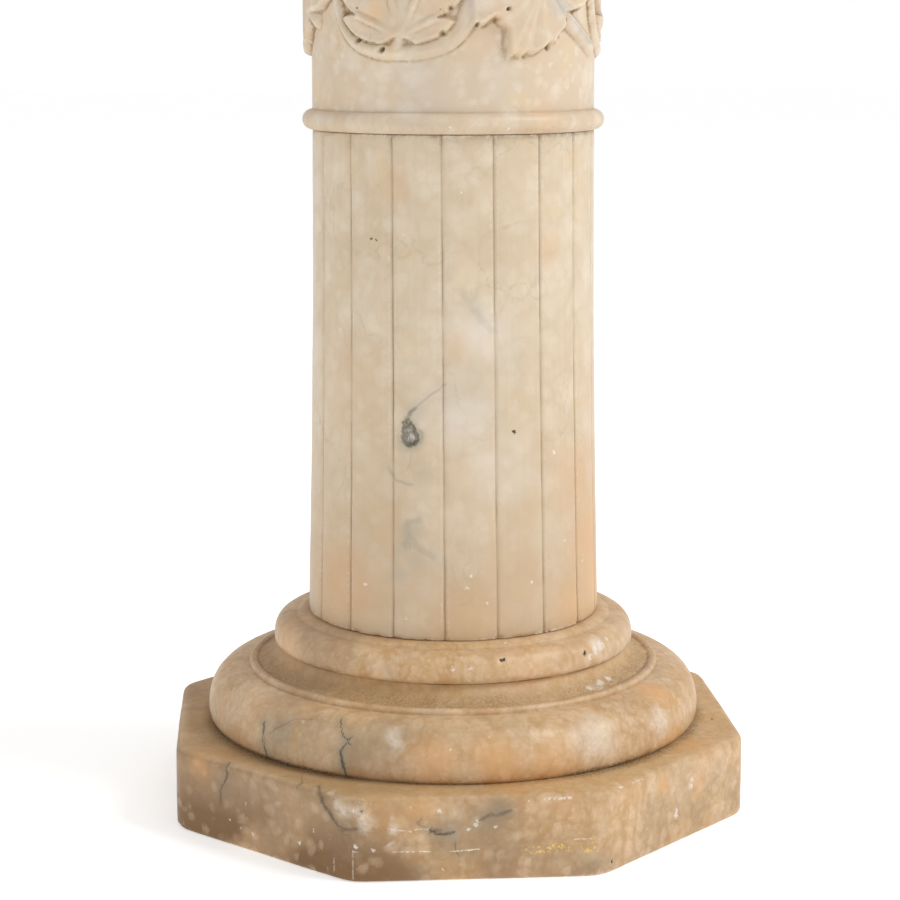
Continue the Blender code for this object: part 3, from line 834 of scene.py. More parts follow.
class Alabaster:
    """Builds the material of one kind of stone, step by step."""

    def __init__(self, name, ground, pale, deep, seed):
        self.material = bpy.data.materials.new(name)
        self.material.use_nodes = True
        self.tree = self.material.node_tree
        self.tree.nodes.clear()
        self.colour = (*ground, 1.0)
        self.pale, self.deep = (*pale, 1.0), (*deep, 1.0)
        self.place = self.add("ShaderNodeTexCoord", output="Object")
        broad = self.noise(CLOUD_SCALE, 3.0, seed * 0.31)
        fine = self.fine = self.noise(GRAIN_SCALE, 3.0, seed * 0.17, roughness=0.7)
        self.cloud, self.warm, self.blotch = self.parts(broad)
        self.fleck, self.grain, self.patchy = self.parts(fine)
        self.wandering = self.pushed(self.pushed(self.place, broad, 0.018), fine, 0.0040)
        self.ragged = self.pushed(self.place, fine, 0.0045)
        self.height = self.grain * 0.10 + self.cloud * 0.2
        self.roughness = SOFT_POLISH

    def add(self, kind, settings=None, inputs=None, output=0):
        return node(self.tree, kind, settings, inputs, output)

    def parts(self, colour):
        split = self.add("ShaderNodeSeparateColor", {}, {0: colour})
        outputs = split.socket.node.outputs
        return [Value(self.tree, socket) for socket in outputs]

    def mix(self, factor, colour):
        """Lays a colour over what is there, as strongly as the factor says."""
        over = colour if len(colour) == 4 else (*colour, 1.0)
        settings = {"data_type": "RGBA", "clamp_factor": True}
        self.colour = self.add("ShaderNodeMix", settings, {0: factor, 6: self.colour, 7: over}, 2)

    def noise(self, scale, detail, shift, stretch=(1, 1, 1), at=None, output="Color", roughness=0.55):
        """A noise moved by shift, so that no two are alike. Its colour gives three noises at once."""
        moved_by = (shift, shift * 0.7, shift * 1.3)
        inputs = {"Vector": at or self.place, "Location": moved_by, "Scale": stretch}
        where = self.add("ShaderNodeMapping", {}, inputs)
        inputs = {"Vector": where, "Scale": scale, "Detail": detail, "Roughness": roughness}
        return self.add("ShaderNodeTexNoise", {}, inputs, output)

    def pushed(self, place_at, colour, amount):
        """Coordinates pushed about by a noise, so that what is drawn on them wanders."""
        centred = colour.vector("SUBTRACT", (0.5, 0.5, 0.5))
        return place_at.vector("ADD", centred.vector("SCALE", (0, 0, 0), scale=amount))

    def nodules(self, scale):
        """Rounded lumps: how far a point is from its lump's middle, and the lump's own random number."""
        inputs = {"Vector": self.wandering, "Scale": scale}
        away = self.add("ShaderNodeTexVoronoi", {"feature": "F1"}, inputs)
        colour = Value(self.tree, away.socket.node.outputs["Color"])
        return away, self.add("ShaderNodeSeparateColor", {}, {0: colour})

    def mark(self, name):
        return self.add("ShaderNodeAttribute", {"attribute_name": name}, {}, "Fac")

    def axis(self, name):
        return self.add("ShaderNodeSeparateXYZ", {}, {0: self.place}, name)

    def stone(self, scale, contrast, lumps=1.0):
        """The stone itself: pale nodules in a warmer ground, with clouds, grain and fine threads."""
        self.mix(self.cloud.smooth(0.38, 0.66) * (0.55 * contrast), self.pale)
        self.mix(self.warm.smooth(0.50, 0.68) * (0.6 * contrast), self.deep)
        strength = contrast * lumps
        away, own = self.nodules(scale)
        self.mix(away.smooth(0.40, 0.85) * (0.6 * strength), self.deep)
        lump = away.smooth(0.80, 0.10) * own.smooth(0.25, 0.95)
        self.mix(lump * (0.85 * strength), self.pale)
        self.mix(away.smooth(0.80, 0.25) * own.smooth(0.22, 0.10) * (0.45 * strength), HONEY)
        self.lump = lump.smooth(0.0, 0.9)
        small_away, small_own = self.nodules(scale * SMALL_NODULES)
        self.mix(small_away.smooth(0.45, 0.90) * (0.45 * strength), self.deep)
        small_lump = small_away.smooth(0.75, 0.10) * small_own.smooth(0.35, 1.0)
        self.mix(small_lump * (0.65 * strength), self.pale)
        self.mix(self.grain.smooth(0.35, 0.70) * (0.22 * contrast), self.deep)
        thread = (self.cloud - 0.5).math("ABSOLUTE").smooth(0.016, 0.004)
        broken = self.patchy.smooth(0.35, 0.60) * self.blotch.smooth(0.42, 0.60)
        self.mix(thread * broken * 0.35, THREAD)
        self.height = self.height + small_away * 0.12

    def located(self, stain_colour, warm_colour, grey_colour, vein_colour):
        """Stains, warm patches and veins at their own places."""
        self.mix(self.mark("warmth") * (self.cloud * 0.5 + 0.6), warm_colour)
        self.mix(self.mark("stain") * (self.patchy * 0.5 + 0.55), stain_colour)
        self.mix(self.mark("vein_grey") * (self.fleck * 0.6 + 0.25), grey_colour)
        jagged = self.mark("vein_side") + (self.fleck - 0.5) * 1.8
        vein = jagged.math("ABSOLUTE").smooth(2.0, 0.4) * self.mark("vein_dark")
        self.mix(vein * (self.patchy.smooth(0.25, 0.55) * 0.45 + 0.5), vein_colour)
        self.height = self.height - vein * 0.35

    def soiled(self, dirt_colour, dirty, dust_colour, dusty, worn_colour, worn):
        """Dirt in the creases, dust on what faces up, and pale worn edges, as strong as given."""
        dust = self.mark("dust")
        self.mix(dust * (self.blotch.smooth(0.3, 0.65) * 0.45 + 0.40) * dusty, dust_colour)
        self.mix(dust * self.fleck.smooth(0.52, 0.64) * (0.2 * dusty), dirt_colour)
        dirt = self.mark("dirt")
        speckled = self.fleck.smooth(0.36, 0.60) * 0.6 + 0.4
        spread = dirt * speckled * (self.blotch.smooth(0.32, 0.62) * 0.6 + 0.4)
        self.mix(spread * dirty, dirt_colour)
        wear = self.mark("wear") * self.patchy.smooth(0.42, 0.62) * self.blotch.smooth(0.40, 0.6)
        self.mix(wear * worn, worn_colour)
        crease = self.mark("crease").smooth(0.05, 0.85) * (self.blotch.smooth(0.38, 0.60) * 0.75 + 0.18)
        self.mix(crease * dirty, dirt_colour)
        self.height = self.height - spread * 0.15 + self.fleck * 0.08
        self.roughness = 0.40 + 0.3 * dust + 0.25 * dirt + 0.12 * self.blotch

    def nearest(self, spots, place_at):
        """How far each place is from the nearest spot's middle, in that spot's radii."""
        least = None
        for x, y, z, radius in spots:
            away = place_at.vector("DISTANCE", (x * MM, y * MM, z * MM), output="Value")
            away = away * (1 / (radius * MM))
            least = away if least is None else least.math("MINIMUM", away)
        return least

    def within(self, spots):
        """1 inside the spots, with ragged edges."""
        return self.nearest(spots, self.ragged).smooth(1.25, 0.65)

    def chipped(self, spots):
        """Small pale chips."""
        chips = self.within(spots) * self.patchy.smooth(0.36, 0.52)
        self.mix(chips * 0.62, FRESH_CHIP)
        self.height = self.height - chips * 0.3

    def finish(self, bump_strength=0.35, bump_distance=0.0006):
        """Puts colour, roughness and bumps on a softly polished shader that lets a little light in."""
        inputs = {"Strength": bump_strength, "Distance": bump_distance, "Height": self.height}
        bump = self.add("ShaderNodeBump", {}, inputs)
        shader = self.add("ShaderNodeBsdfPrincipled")
        shader_node = shader.socket.node
        for name, value in (
            ("Metallic", 0.0),
            ("IOR", STONE_IOR),
            ("Subsurface Weight", 0.12),
            ("Subsurface Radius", GLOW_DEPTHS),
            ("Subsurface Scale", 1.0),
        ):
            shader_node.inputs[name].default_value = value
        varying = {"Base Color": self.colour, "Roughness": self.roughness, "Normal": bump}
        for name, value in varying.items():
            self.tree.links.new(value.socket, shader_node.inputs[name])
        self.add("ShaderNodeOutputMaterial", {}, {"Surface": shader})
        return self.material


def shaft_alabaster(look):
    stone = Alabaster("shaft_alabaster", look.shaft_colour, look.shaft_pale, look.shaft_deep, 3)
    stone.stone(68.0, 0.50)
    streak = stone.noise(1.0, 3.0, 2.9, stretch=(420, 420, 14), output=0)
    stone.mix(streak.smooth(0.45, 0.75) * 0.12, look.shaft_pale)
    low = stone.axis("Z").smooth(0.26, 0.11)
    stone.mix(low * (stone.warm.smooth(0.35, 0.60) * 0.30 + 0.24), (0.55, 0.37, 0.20))
    # Painted light: the lower shaft's right edge, where the key light falls, is tinted deeper orange
    stone.mix(low * stone.axis("X").smooth(0.036, 0.070) * 0.32, (0.50, 0.29, 0.13))
    paling = stone.nearest(SHAFT_PALING, stone.wandering).smooth(1.2, 0.1)
    stone.mix(paling * (stone.warm.smooth(0.62, 0.40) * 0.20 + 0.20), (0.80, 0.75, 0.69))
    stone.located(
        stain_colour=(0.45, 0.41, 0.32),
        warm_colour=(0.68, 0.41, 0.19),
        grey_colour=(0.50, 0.46, 0.38),
        vein_colour=(0.24, 0.21, 0.16),
    )
    stone.soiled((0.27, 0.175, 0.08), 0.80, (0.55, 0.42, 0.27), 1.0, WORN_EDGE, 0.8)
    crystal_void(stone)
    stone.mix(stone.within(SHAFT_PITS), (0.05, 0.03, 0.02))
    stone.chipped(SHAFT_SPECKS)
    return stone.finish()


def crystal_void(stone):
    """A dark hole lined with crystals, with a grey halo, on the lower shaft's front."""
    away = stone.nearest(CRYSTAL_VOID, stone.pushed(stone.place, stone.fine, 0.0030))
    crystal = stone.noise(1.0, 2.0, 9.0, stretch=(950, 950, 420), output=0, roughness=0.6)
    stone.mix(away.smooth(2.0, 0.9) * 0.40, (0.42, 0.37, 0.27))
    hollow = away.smooth(1.12, 0.92)
    stone.mix(hollow * 0.95, (0.36, 0.32, 0.25))
    stone.mix(away.smooth(0.95, 0.35) * crystal.smooth(0.44, 0.58) * 0.8, (0.68, 0.64, 0.61))
    to_right = stone.axis("X").smooth(-0.0310, -0.0265)
    to_foot = stone.axis("Z").smooth(0.2125, 0.2065)
    rim = hollow * away.smooth(0.45, 0.85) * ((to_right * 0.65 + to_foot * 0.35) * 0.50 + 0.50)
    stone.mix(rim * (crystal.smooth(0.62, 0.42) * 0.40 + 0.60), (0.085, 0.070, 0.035))
    stone.height = stone.height - hollow * 0.6 + hollow * crystal * 0.8


def drum_alabaster(look):
    stone = Alabaster("drum_alabaster", look.drum_colour, look.drum_pale, look.drum_deep, 5)
    stone.stone(82.0, 0.90)
    stone.located(
        stain_colour=(0.55, 0.53, 0.50),
        warm_colour=(0.80, 0.54, 0.33),
        grey_colour=(0.55, 0.53, 0.50),
        vein_colour=(0.36, 0.34, 0.33),
    )
    stone.soiled((0.27, 0.15, 0.04), 0.95, (0.46, 0.31, 0.16), 1.0, WORN_EDGE, 0.35)
    stone.mix(stone.mark("crease").smooth(0.87, 0.97) * 0.65, (0.115, 0.065, 0.022))
    stone.mix(stone.within(DRUM_PITS) * 0.8, (0.07, 0.045, 0.02))
    stone.chipped(DRUM_SPECKS)
    return stone.finish(bump_strength=0.3)


def base_alabaster(look):
    stone = Alabaster("base_alabaster", look.base_colour, look.base_pale, look.base_deep, 7)
    stone.mix(stone.warm.smooth(0.52, 0.36) * 0.45, (0.66, 0.39, 0.17))
    stone.mix(stone.blotch.smooth(0.52, 0.66) * 0.40, (0.45, 0.37, 0.25))
    medium = stone.noise(48.0, 2.0, 6.1)
    paler, rosy, dull = stone.parts(medium)
    stone.mix(paler.smooth(0.50, 0.64) * 0.55, look.base_pale)
    stone.mix(rosy.smooth(0.52, 0.64) * 0.40, (0.66, 0.39, 0.21))
    stone.mix(dull.smooth(0.54, 0.66) * 0.35, (0.50, 0.37, 0.24))
    stone.stone(150.0, 0.95, lumps=0.6)
    height = stone.axis("Z")
    # Painted shade: 1 on the base's left side, away from the key light, where its colours are darkened
    left_shade = stone.axis("X").smooth(0.06, -0.10)
    streak = stone.noise(1.0, 3.0, 4.0, stretch=(260, 260, 60), at=stone.wandering, output=0)
    # Pale streaks, fainter on the left as part of the painted shade
    stone.mix(streak.smooth(0.50, 0.64) * (0.24 - 0.12 * left_shade), look.base_pale)
    # Painted shade on the left side, in a dull brown
    stone.mix(left_shade * (stone.warm.smooth(0.40, 0.60) * 0.30 + 0.06), (0.36, 0.26, 0.17))
    stone.located(
        stain_colour=(0.27, 0.215, 0.14),
        warm_colour=(0.74, 0.40, 0.16),
        grey_colour=(0.28, 0.24, 0.17),
        vein_colour=(0.055, 0.052, 0.042),
    )
    # Painted light: the upper mouldings on the base's right side, toward the key light, are coloured paler
    right = stone.axis("X").smooth(0.01, 0.08) * height.smooth(0.070, 0.078)
    stone.mix(right * 0.20, look.base_pale)
    # The plinth's sides: dark soil, stronger toward the foot, and stronger on the left as painted shade
    side = height.smooth(0.0436, 0.0415)
    soil_and_left_shade = (height.smooth(0.036, 0.006) * 0.45 + 0.40) * (left_shade * 0.60 + 0.40) * (1.0 - stone.lump * 0.4)
    stone.mix(side * soil_and_left_shade * (stone.cloud.smooth(0.38, 0.58) * 0.8 + 0.5), (0.20, 0.10, 0.028))
    stone.soiled((0.13, 0.08, 0.04), 0.8, (0.63, 0.39, 0.155), 0.8, (0.88, 0.80, 0.69), 0.5)
    grit = stone.noise(850.0, 1.0, 5.0, output=0)
    grime = stone.mark("grime") * (stone.blotch.smooth(0.34, 0.60) * 0.6 + 0.4)
    # Grime in brown, stronger on the left side as painted shade
    stone.mix(grime * (left_shade * 0.25 + 0.25), (0.24, 0.135, 0.055))
    stone.mix(grime * grit.smooth(0.46, 0.56) * 0.75, (0.10, 0.06, 0.03))
    # Painted shade: the dusty tops on the left side are coloured darker brown
    stone.mix(stone.mark("dust") * (left_shade * 0.45), (0.25, 0.135, 0.05))
    stone.mix(stone.within(BASE_PITS), (0.035, 0.025, 0.02))
    veils = stone.nearest(BASE_VEILS, stone.pushed(stone.ragged, medium, 0.020)).smooth(1.25, 0.15)
    stone.mix(veils * (stone.patchy.smooth(0.35, 0.60) * 0.25 + 0.30), (0.84, 0.75, 0.64))
    stone.chipped(BASE_SPECKS)
    broken = stone.patchy.smooth(0.36, 0.54) * 0.85
    for start, end, half_width, strength in BASE_SCRATCHES:
        line = segment_distance(stone, start, end).smooth(half_width * 1.6, half_width * 0.5)
        stone.mix(line * broken * strength, (0.90, 0.84, 0.75))
    gilt(stone)
    return stone.finish(bump_strength=0.4, bump_distance=0.0008)


def segment_distance(stone, start, end):
    """The distance in millimetres to a straight line from start to end."""
    start = np.array(start) * MM
    run = np.array(end) * MM - start
    from_start = stone.pushed(stone.place, stone.fine, 0.0020).vector("SUBTRACT", tuple(start))
    share = (from_start.vector("DOT_PRODUCT", tuple(run), output="Value") / float(run @ run)).clipped()
    on_line = stone.add("ShaderNodeCombineXYZ", {}, {axis: share * run[axis] for axis in range(3)})
    return from_start.vector("DISTANCE", on_line, output="Value") * (1 / MM)


def gilt(stone):
    """Flecks of worn gilding in a row, colour only."""
    across, up, depth = stone.axis("X"), stone.axis("Z"), stone.axis("Y")
    span = across.smooth(GILT_LEFT * MM - 0.001, GILT_LEFT * MM + 0.002)
    span = span * across.smooth(GILT_RIGHT * MM + 0.002, GILT_RIGHT * MM)
    band = (up - GILT_HEIGHT * MM).math("ABSOLUTE").smooth(0.0034, 0.0014)
    groups = stone.noise(75.0, 1.0, 14.0, output=0).smooth(0.38, 0.50)
    flecks = stone.fleck.smooth(0.50, 0.56) * stone.grain.smooth(0.42, 0.48)
    stone.mix(flecks * groups * span * band * depth.smooth(-0.150, -0.1515), (0.80, 0.52, 0.12))


def capital_alabaster(look):
    stone = Alabaster("capital_alabaster", look.capital_colour, look.capital_pale, look.capital_deep, 11)
    stone.stone(92.0, 0.75)
    lines = stone.noise(13.0, 3.0, 6.0, at=stone.wandering, output=0)
    thin = (lines - 0.5).math("ABSOLUTE").smooth(0.010, 0.002) * stone.blotch.smooth(0.52, 0.62)
    stone.mix(thin * 0.5, (0.25, 0.21, 0.17))
    stone.soiled((0.18, 0.11, 0.05), 0.8, (0.50, 0.37, 0.23), 1.0, (0.94, 0.89, 0.80), 0.7)
    return stone.finish()


# Base and capital


def weathered(grid, seed, roughness, chip_depth):
    """Moves a grid's points as hand work and wear did."""
    grid = grid + outward(grid) * (cloudy(grid, 0.05, seed) * roughness)[..., None]
    grid = grid + outward(grid) * (cloudy(grid, 0.012, seed + 1, 2) * roughness * 0.35)[..., None]
    edge = ramp(standing_out(grid, 2), 0.00015, 0.0006)
    chipped = ramp(cloudy(grid, 0.012, seed + 2), 0.18, 0.55)
    return grid - outward(grid) * (edge * (0.25 + chipped) * chip_depth)[..., None]


def marks_of(grid, dust, seed):
    """Where dirt gathers, where edges are worn and where dust lies."""
    out = standing_out(grid, 3)
    marks = {
        "dirt": ramp(-out, 0.00012, 0.0007),
        "wear": ramp(out, 0.00025, 0.0009),
        "dust": blurred(dust, 2) * (0.7 + 0.3 * cloudy(grid, 0.04, seed)),
    }
    return {name: values.clip(0, 1) for name, values in marks.items()}


def base_rings():
    rings = Rings()
    half = PLINTH_FLATS / 2
    rings.octagonal(straight((half * 0.25, 0.0), (half - 2 * PLINTH_FOOT_ROUND, 0.0), 4))
    foot = quarter_round((half, PLINTH_FOOT_ROUND), (half - PLINTH_FOOT_ROUND, 0.0), CIRCULAR, 5)
    rings.octagonal(foot[::-1])
    top_edge = PLINTH_HEIGHT - PLINTH_TOP_ROUND
    rings.octagonal(straight((half, PLINTH_FOOT_ROUND), (half, top_edge), 27)[1:])
    edge = quarter_round((half, top_edge), (half - PLINTH_TOP_ROUND, PLINTH_HEIGHT), CIRCULAR, 8)
    rings.octagonal(edge[1:], dust=0.35)
    rings.blend(half - PLINTH_TOP_ROUND, LOWER_TORUS_FOOT, PLINTH_HEIGHT, 14, dust=1.0)
    torus_top = PLINTH_HEIGHT + LOWER_TORUS_HEIGHT
    belly = (LOWER_TORUS_RADIUS, PLINTH_HEIGHT + LOWER_TORUS_BELLY)
    rings.round([(LOWER_TORUS_FOOT, PLINTH_HEIGHT)], dust=1.0)
    rings.round(quarter_round(belly, (LOWER_TORUS_FOOT, PLINTH_HEIGHT + 0.0004), CIRCULAR, 6)[::-1])
    rings.round(quarter_round(belly, (RIM_RADIUS + 0.0014, torus_top), LOWER_TORUS_FULLNESS, 38)[1:])
    for turn in np.radians(np.linspace(-20, 125, 9)):
        across, up = 0.0026 * math.cos(turn), 0.0022 * math.sin(turn)
        rings.round([(RIM_RADIUS - 0.0014 + across, torus_top + 0.0010 + up)], dust=0.15)
    hollow_foot = torus_top + RIM_HEIGHT
    hollow_top = hollow_foot + HOLLOW_HEIGHT
    start = (RIM_RADIUS - RIM_SETBACK - 0.0006, hollow_foot - 0.0008)
    rings.round(bowed(start, (HOLLOW_TOP_RADIUS, hollow_top), -HOLLOW_BOW, 20), dust=0.85)
    belly = (UPPER_TORUS_RADIUS, hollow_top + UPPER_TORUS_BELLY)
    rings.round(quarter_round(belly, (HOLLOW_TOP_RADIUS, hollow_top), CIRCULAR, 6)[:0:-1])
    torus_top = hollow_top + UPPER_TORUS_HEIGHT
    shelf = (BASE_FILLET_RADIUS + 0.0026, torus_top + 0.0006)
    rings.round(quarter_round(belly, shelf, UPPER_TORUS_FULLNESS, 28))
    for inward, down in FILLET_EDGE:
        rings.round([(BASE_FILLET_RADIUS + 0.0024 - inward, BASE_TOP - down)], dust=0.12)
    rings.round(straight((BASE_FILLET_RADIUS - 0.0024, BASE_TOP), (0.070, BASE_TOP), 5), dust=0.8)
    rings.round([(0.035, BASE_TOP)])
    return rings


def base_grid(wear):
    rings = base_rings()
    grid = rings.grid(BASE_COLUMNS)
    flat_foot, flat_top = grid[0, 0, 2], grid[-1, 0, 2]
    grid = weathered(grid, WEATHER_SEEDS["base"], BASE_UNEVENNESS, wear)
    for centre, radius, depth in BASE_DENTS:
        grid = grid - outward(grid) * dented(grid, centre, radius, depth)[..., None]
    grid[..., 2] = grid[..., 2].clip(flat_foot, flat_top)
    return grid, rings.dust(BASE_COLUMNS)


def base_marks(grid, dust):
    """The base's marks. Grime lies on the plinth and in the hollow, and the fillet's edge stays cleaner."""
    marks = marks_of(grid, dust, DUST_SEEDS["base"])
    reach, height = np.hypot(grid[..., 0], grid[..., 1]), grid[..., 2]
    rim_foot = PLINTH_HEIGHT + LOWER_TORUS_HEIGHT
    rim_top = rim_foot + RIM_HEIGHT
    under_rim = ramp(-np.abs(height - rim_foot), -0.0025, -0.0010) * (reach > RIM_RADIUS)
    at_fillet = ramp(height, BASE_TOP - 0.0040, BASE_TOP - 0.0030) * (reach > BASE_FILLET_RADIUS)
    marks["dirt"] *= (1.0 - 0.65 * under_rim) * (1.0 - 0.60 * at_fillet)
    on_plinth = ramp(-height, -PLINTH_HEIGHT - 0.0035, -PLINTH_HEIGHT - 0.0010)
    on_plinth *= ramp(-reach, -LOWER_TORUS_FOOT - 0.0085, -LOWER_TORUS_FOOT - 0.0010)
    on_plinth *= 0.25 + 0.75 * ramp(np.abs(grid[..., 0] + 0.010), 0.030, 0.070)
    in_hollow = ramp(-height, -rim_top - 0.0060, -rim_top)
    in_hollow *= ramp(height, rim_foot, rim_foot + 0.0020) * (reach < RIM_RADIUS)
    marks["grime"] = np.maximum(on_plinth, 0.45 * in_hollow)
    located = stone_marks(grid, outward(grid), BASE_VEINS, BASE_STAINS, BASE_WARMTH, VEIN_SEEDS["base"])
    return {**marks, **located}


def capital_rings():
    rings = Rings()
    foot = CAPITAL_FOOT
    rings.round(straight((0.030, foot), (CAPITAL_NECK_RADIUS - 0.0006, foot), 4))
    torus_foot = foot + CAPITAL_NECK_HEIGHT
    rings.round(straight((CAPITAL_NECK_RADIUS, foot + 0.0005), (CAPITAL_NECK_RADIUS, torus_foot), 4))
    out = CAPITAL_TORUS_RADIUS - CAPITAL_NECK_RADIUS
    rings.round(half_round(CAPITAL_NECK_RADIUS, torus_foot, CAPITAL_TORUS_HEIGHT, out, 18)[1:])
    hollow_start = torus_foot + CAPITAL_TORUS_HEIGHT
    fillet_foot = hollow_start + CAPITAL_HOLLOW_HEIGHT
    start, end = (CAPITAL_HOLLOW_FOOT, hollow_start), (CAPITAL_HOLLOW_TOP, fillet_foot)
    hollow = bowed(start, end, -CAPITAL_HOLLOW_BOW, 28)
    rings.round(hollow[1:], dust=0.2)
    fillet_top = fillet_foot + CAPITAL_FILLET_HEIGHT
    start, end = (CAPITAL_FILLET_RADIUS, fillet_foot + 0.0002), (CAPITAL_FILLET_RADIUS, fillet_top)
    rings.round(straight(start, end, 5))
    abacus_foot = fillet_top + ECHINUS_HEIGHT
    echinus = bowed((CAPITAL_FILLET_RADIUS, fillet_top), (ECHINUS_TOP, abacus_foot), ECHINUS_BOW, 26)
    rings.round(echinus[1:])
    half = ABACUS_FLATS / 2
    rings.blend(ECHINUS_TOP, half - ABACUS_ROUND, abacus_foot, 6, dust=0.1, closing=True)
    side, inside = (half, abacus_foot + ABACUS_ROUND), (half - ABACUS_ROUND, abacus_foot)
    under = quarter_round(side, inside, CIRCULAR, 7)
    rings.octagonal(under[::-1])
    upper = CAPITAL_TOP - ABACUS_ROUND
    rings.octagonal(straight((half, abacus_foot + ABACUS_ROUND), (half, upper), 22)[1:])
    edge = quarter_round((half, upper), (half - ABACUS_ROUND, CAPITAL_TOP), CIRCULAR, 7)
    rings.octagonal(edge[1:], dust=0.3)
    rings.blend(half - ABACUS_ROUND, half * 0.12, CAPITAL_TOP, 18, dust=0.55)
    return rings


def capital_grid(wear):
    rings = capital_rings()
    grid = rings.grid(CAPITAL_COLUMNS)
    grid = weathered(grid, WEATHER_SEEDS["capital"], CAPITAL_UNEVENNESS, wear * 0.8)
    grid[..., 2] = grid[..., 2].clip(CAPITAL_FOOT, CAPITAL_TOP)
    return grid, rings.dust(CAPITAL_COLUMNS)


# Carved drum


def from_stem(across, height, path, half_widths):
    """How far each point is from a stem's middle, in the stem's half widths."""
    nearest = np.full(across.shape, 9.0)
    for (x, z), half_width in zip(path, half_widths):
        nearest = np.minimum(nearest, np.hypot(across - x, height - z) / half_width)
    return nearest


def ridge(away, width):
    """1 where away is 0, and falling off like a bell over the width."""
    return np.exp(-((away / width) ** 2))


def stem_height(nearest):
    """A rounded stem: how far it stands out at each point."""
    body = STEM_RELIEF * (1 - nearest.clip(0, 1) ** 2.4)
    groove = STEM_GROOVE * ridge(nearest - 0.35, 0.12)
    return (body - groove).clip(0, 1) * (nearest < 1)


def lobed(across, height, heart, lobes, notch):
    """Where each point lies in its petal.

    These are the share of the way to the tip, the place from side to side, and how far off the petal's
    side, the blossom's heart and the petal's tip are.
    """
    dx, dz = across - heart[0], height - heart[1]
    away = np.hypot(dx, dz)
    direction = np.degrees(np.arctan2(dx, dz))
    best = np.full(across.shape, 1e-4)
    off_best = np.ones(across.shape)
    side = np.zeros(across.shape)
    for centre, length, half_width in lobes:
        off = ((direction - centre + 180) % 360 - 180) / half_width
        reach = length * (1 - notch * np.abs(off).clip(0, 1) ** 2.6)
        better = (np.abs(off) < 1) & (reach > best)
        best = np.where(better, reach, best)
        off_best = np.where(better, off, off_best)
        side = np.where(better, away * np.radians(half_width) * (1 - np.abs(off)), side)
    return away / best, off_best, side, away, (best - away)


def blossom_height(across, height, heart, from_roundel):
    """Cupped petals with thin raised rims, round a small boss."""
    share, off, side, away, to_tip = lobed(across, height, heart, BLOSSOM_LOBES, PETAL_POINTEDNESS)
    aside = np.abs(across - ROUNDEL_SHIFT) / (ROUNDEL_WIDTH / 2)
    aloft = np.abs(height) / (ROUNDEL_HEIGHT / 2)
    enclosed = aside**ROUNDEL_FULLNESS + aloft**ROUNDEL_FULLNESS < 1.0
    to_tip = np.minimum(to_tip, np.where(enclosed, from_roundel - 0.80, -1.0) * STEM_HALF_WIDTH)
    fall = ramp(to_tip, 0.0, 0.0016)
    cup = PETAL_CUP * np.sin(math.pi * share.clip(0, 1) ** 1.3) * (1 - off**2)
    before_tip = ramp(-share, -1.0, -0.8)
    rims = PETAL_RIM * ridge(side, 0.0010) * ramp(share, 0.12, 0.3) * before_tip
    crease = PETAL_CREASE * ridge(side - 0.0022, 0.0009) * ramp(share, 0.15, 0.4) * before_tip
    tip = PETAL_TIP * ridge(to_tip - 0.0022, 0.0010)
    rib = PETAL_RIB * ridge(off * away, 0.0009) * ramp(share, 0.1, 0.3) * ramp(-share, -0.75, -0.5)
    middle = BOSS_RELIEF * ramp(-away, -0.0048, -0.0015)
    return ((PETAL_RELIEF - cup + rims - crease + tip + rib) * fall + middle).clip(0, 1) * (share < 1)


def inside_distance(across, height, outline):
    """How far inside a closed outline each point lies. It is negative outside."""
    nearest = np.full(across.shape, 9.0)
    inside = np.zeros(across.shape, bool)
    for (x, z), (next_x, next_z) in zip(outline, outline[1:] + outline[:1]):
        nearest = np.minimum(nearest, line_distance(across, height, (x, z), (next_x, next_z))[0])
        passed = (z > height) != (next_z > height)
        inside ^= passed & (across < x + (next_x - x) * (height - z) / (next_z - z or 1e-9))
    return np.where(inside, nearest, -nearest)


def line_distance(across, height, start, end):
    """The distance from a straight line between two points, and the share of the way along it."""
    run_x, run_z = end[0] - start[0], end[1] - start[1]
    right, up = across - start[0], height - start[1]
    along = ((right * run_x + up * run_z) / (run_x**2 + run_z**2)).clip(0, 1)
    return np.hypot(right - along * run_x, up - along * run_z), along


def on_face(point):
    """From an angle in degrees and a height to metres across the drum's face and the same height."""
    return math.radians(point[0]) * DRUM_RADIUS, point[1]


def leaf_height(across, height):
    """A broad leaf with scalloped edges, whose veins fan out from its heart."""
    depth = inside_distance(across, height, [on_face(point) for point in LEAF_OUTLINE])
    heart = on_face(LEAF_HEART)
    from_vein, vein = np.full(across.shape, 9.0), np.zeros(across.shape)
    for tip in LEAF_VEIN_TIPS:
        away, along = line_distance(across, height, heart, on_face(tip))
        from_vein = np.minimum(from_vein, away)
        vein = np.maximum(vein, ridge(away, 0.0009) * ramp(-along, -1.0, -0.6))
    hollow = LEAF_HOLLOW * ramp(from_vein, 0.0005, 0.0050)
    curl = LEAF_CURL * ridge(depth - 0.0028, 0.0014)
    return ((LEAF_RELIEF - hollow + LEAF_VEIN * vein + curl) * ramp(depth, 0.0, 0.0014)).clip(0, 1)


def roundel_path():
    turn = np.linspace(0, FULL_TURN, 260, endpoint=False)
    power = 2 / ROUNDEL_FULLNESS
    across = np.sign(np.cos(turn)) * np.abs(np.cos(turn)) ** power * ROUNDEL_WIDTH / 2 + ROUNDEL_SHIFT
    height = np.sign(np.sin(turn)) * np.abs(np.sin(turn)) ** power * ROUNDEL_HEIGHT / 2
    return list(zip(across, height)), STEM_HALF_WIDTH + STEM_SWELLING * np.cos(turn)


def bar_path(start, end, sway, foot_width, tip_width, count=90):
    share = np.linspace(0, 1, count)
    across = (start[0] + (end[0] - start[0]) * share) * DRUM_RADIUS
    height = start[1] + (end[1] - start[1]) * share + sway * np.sin(FULL_TURN * share)
    return list(zip(across, height)), foot_width + (tip_width - foot_width) * share


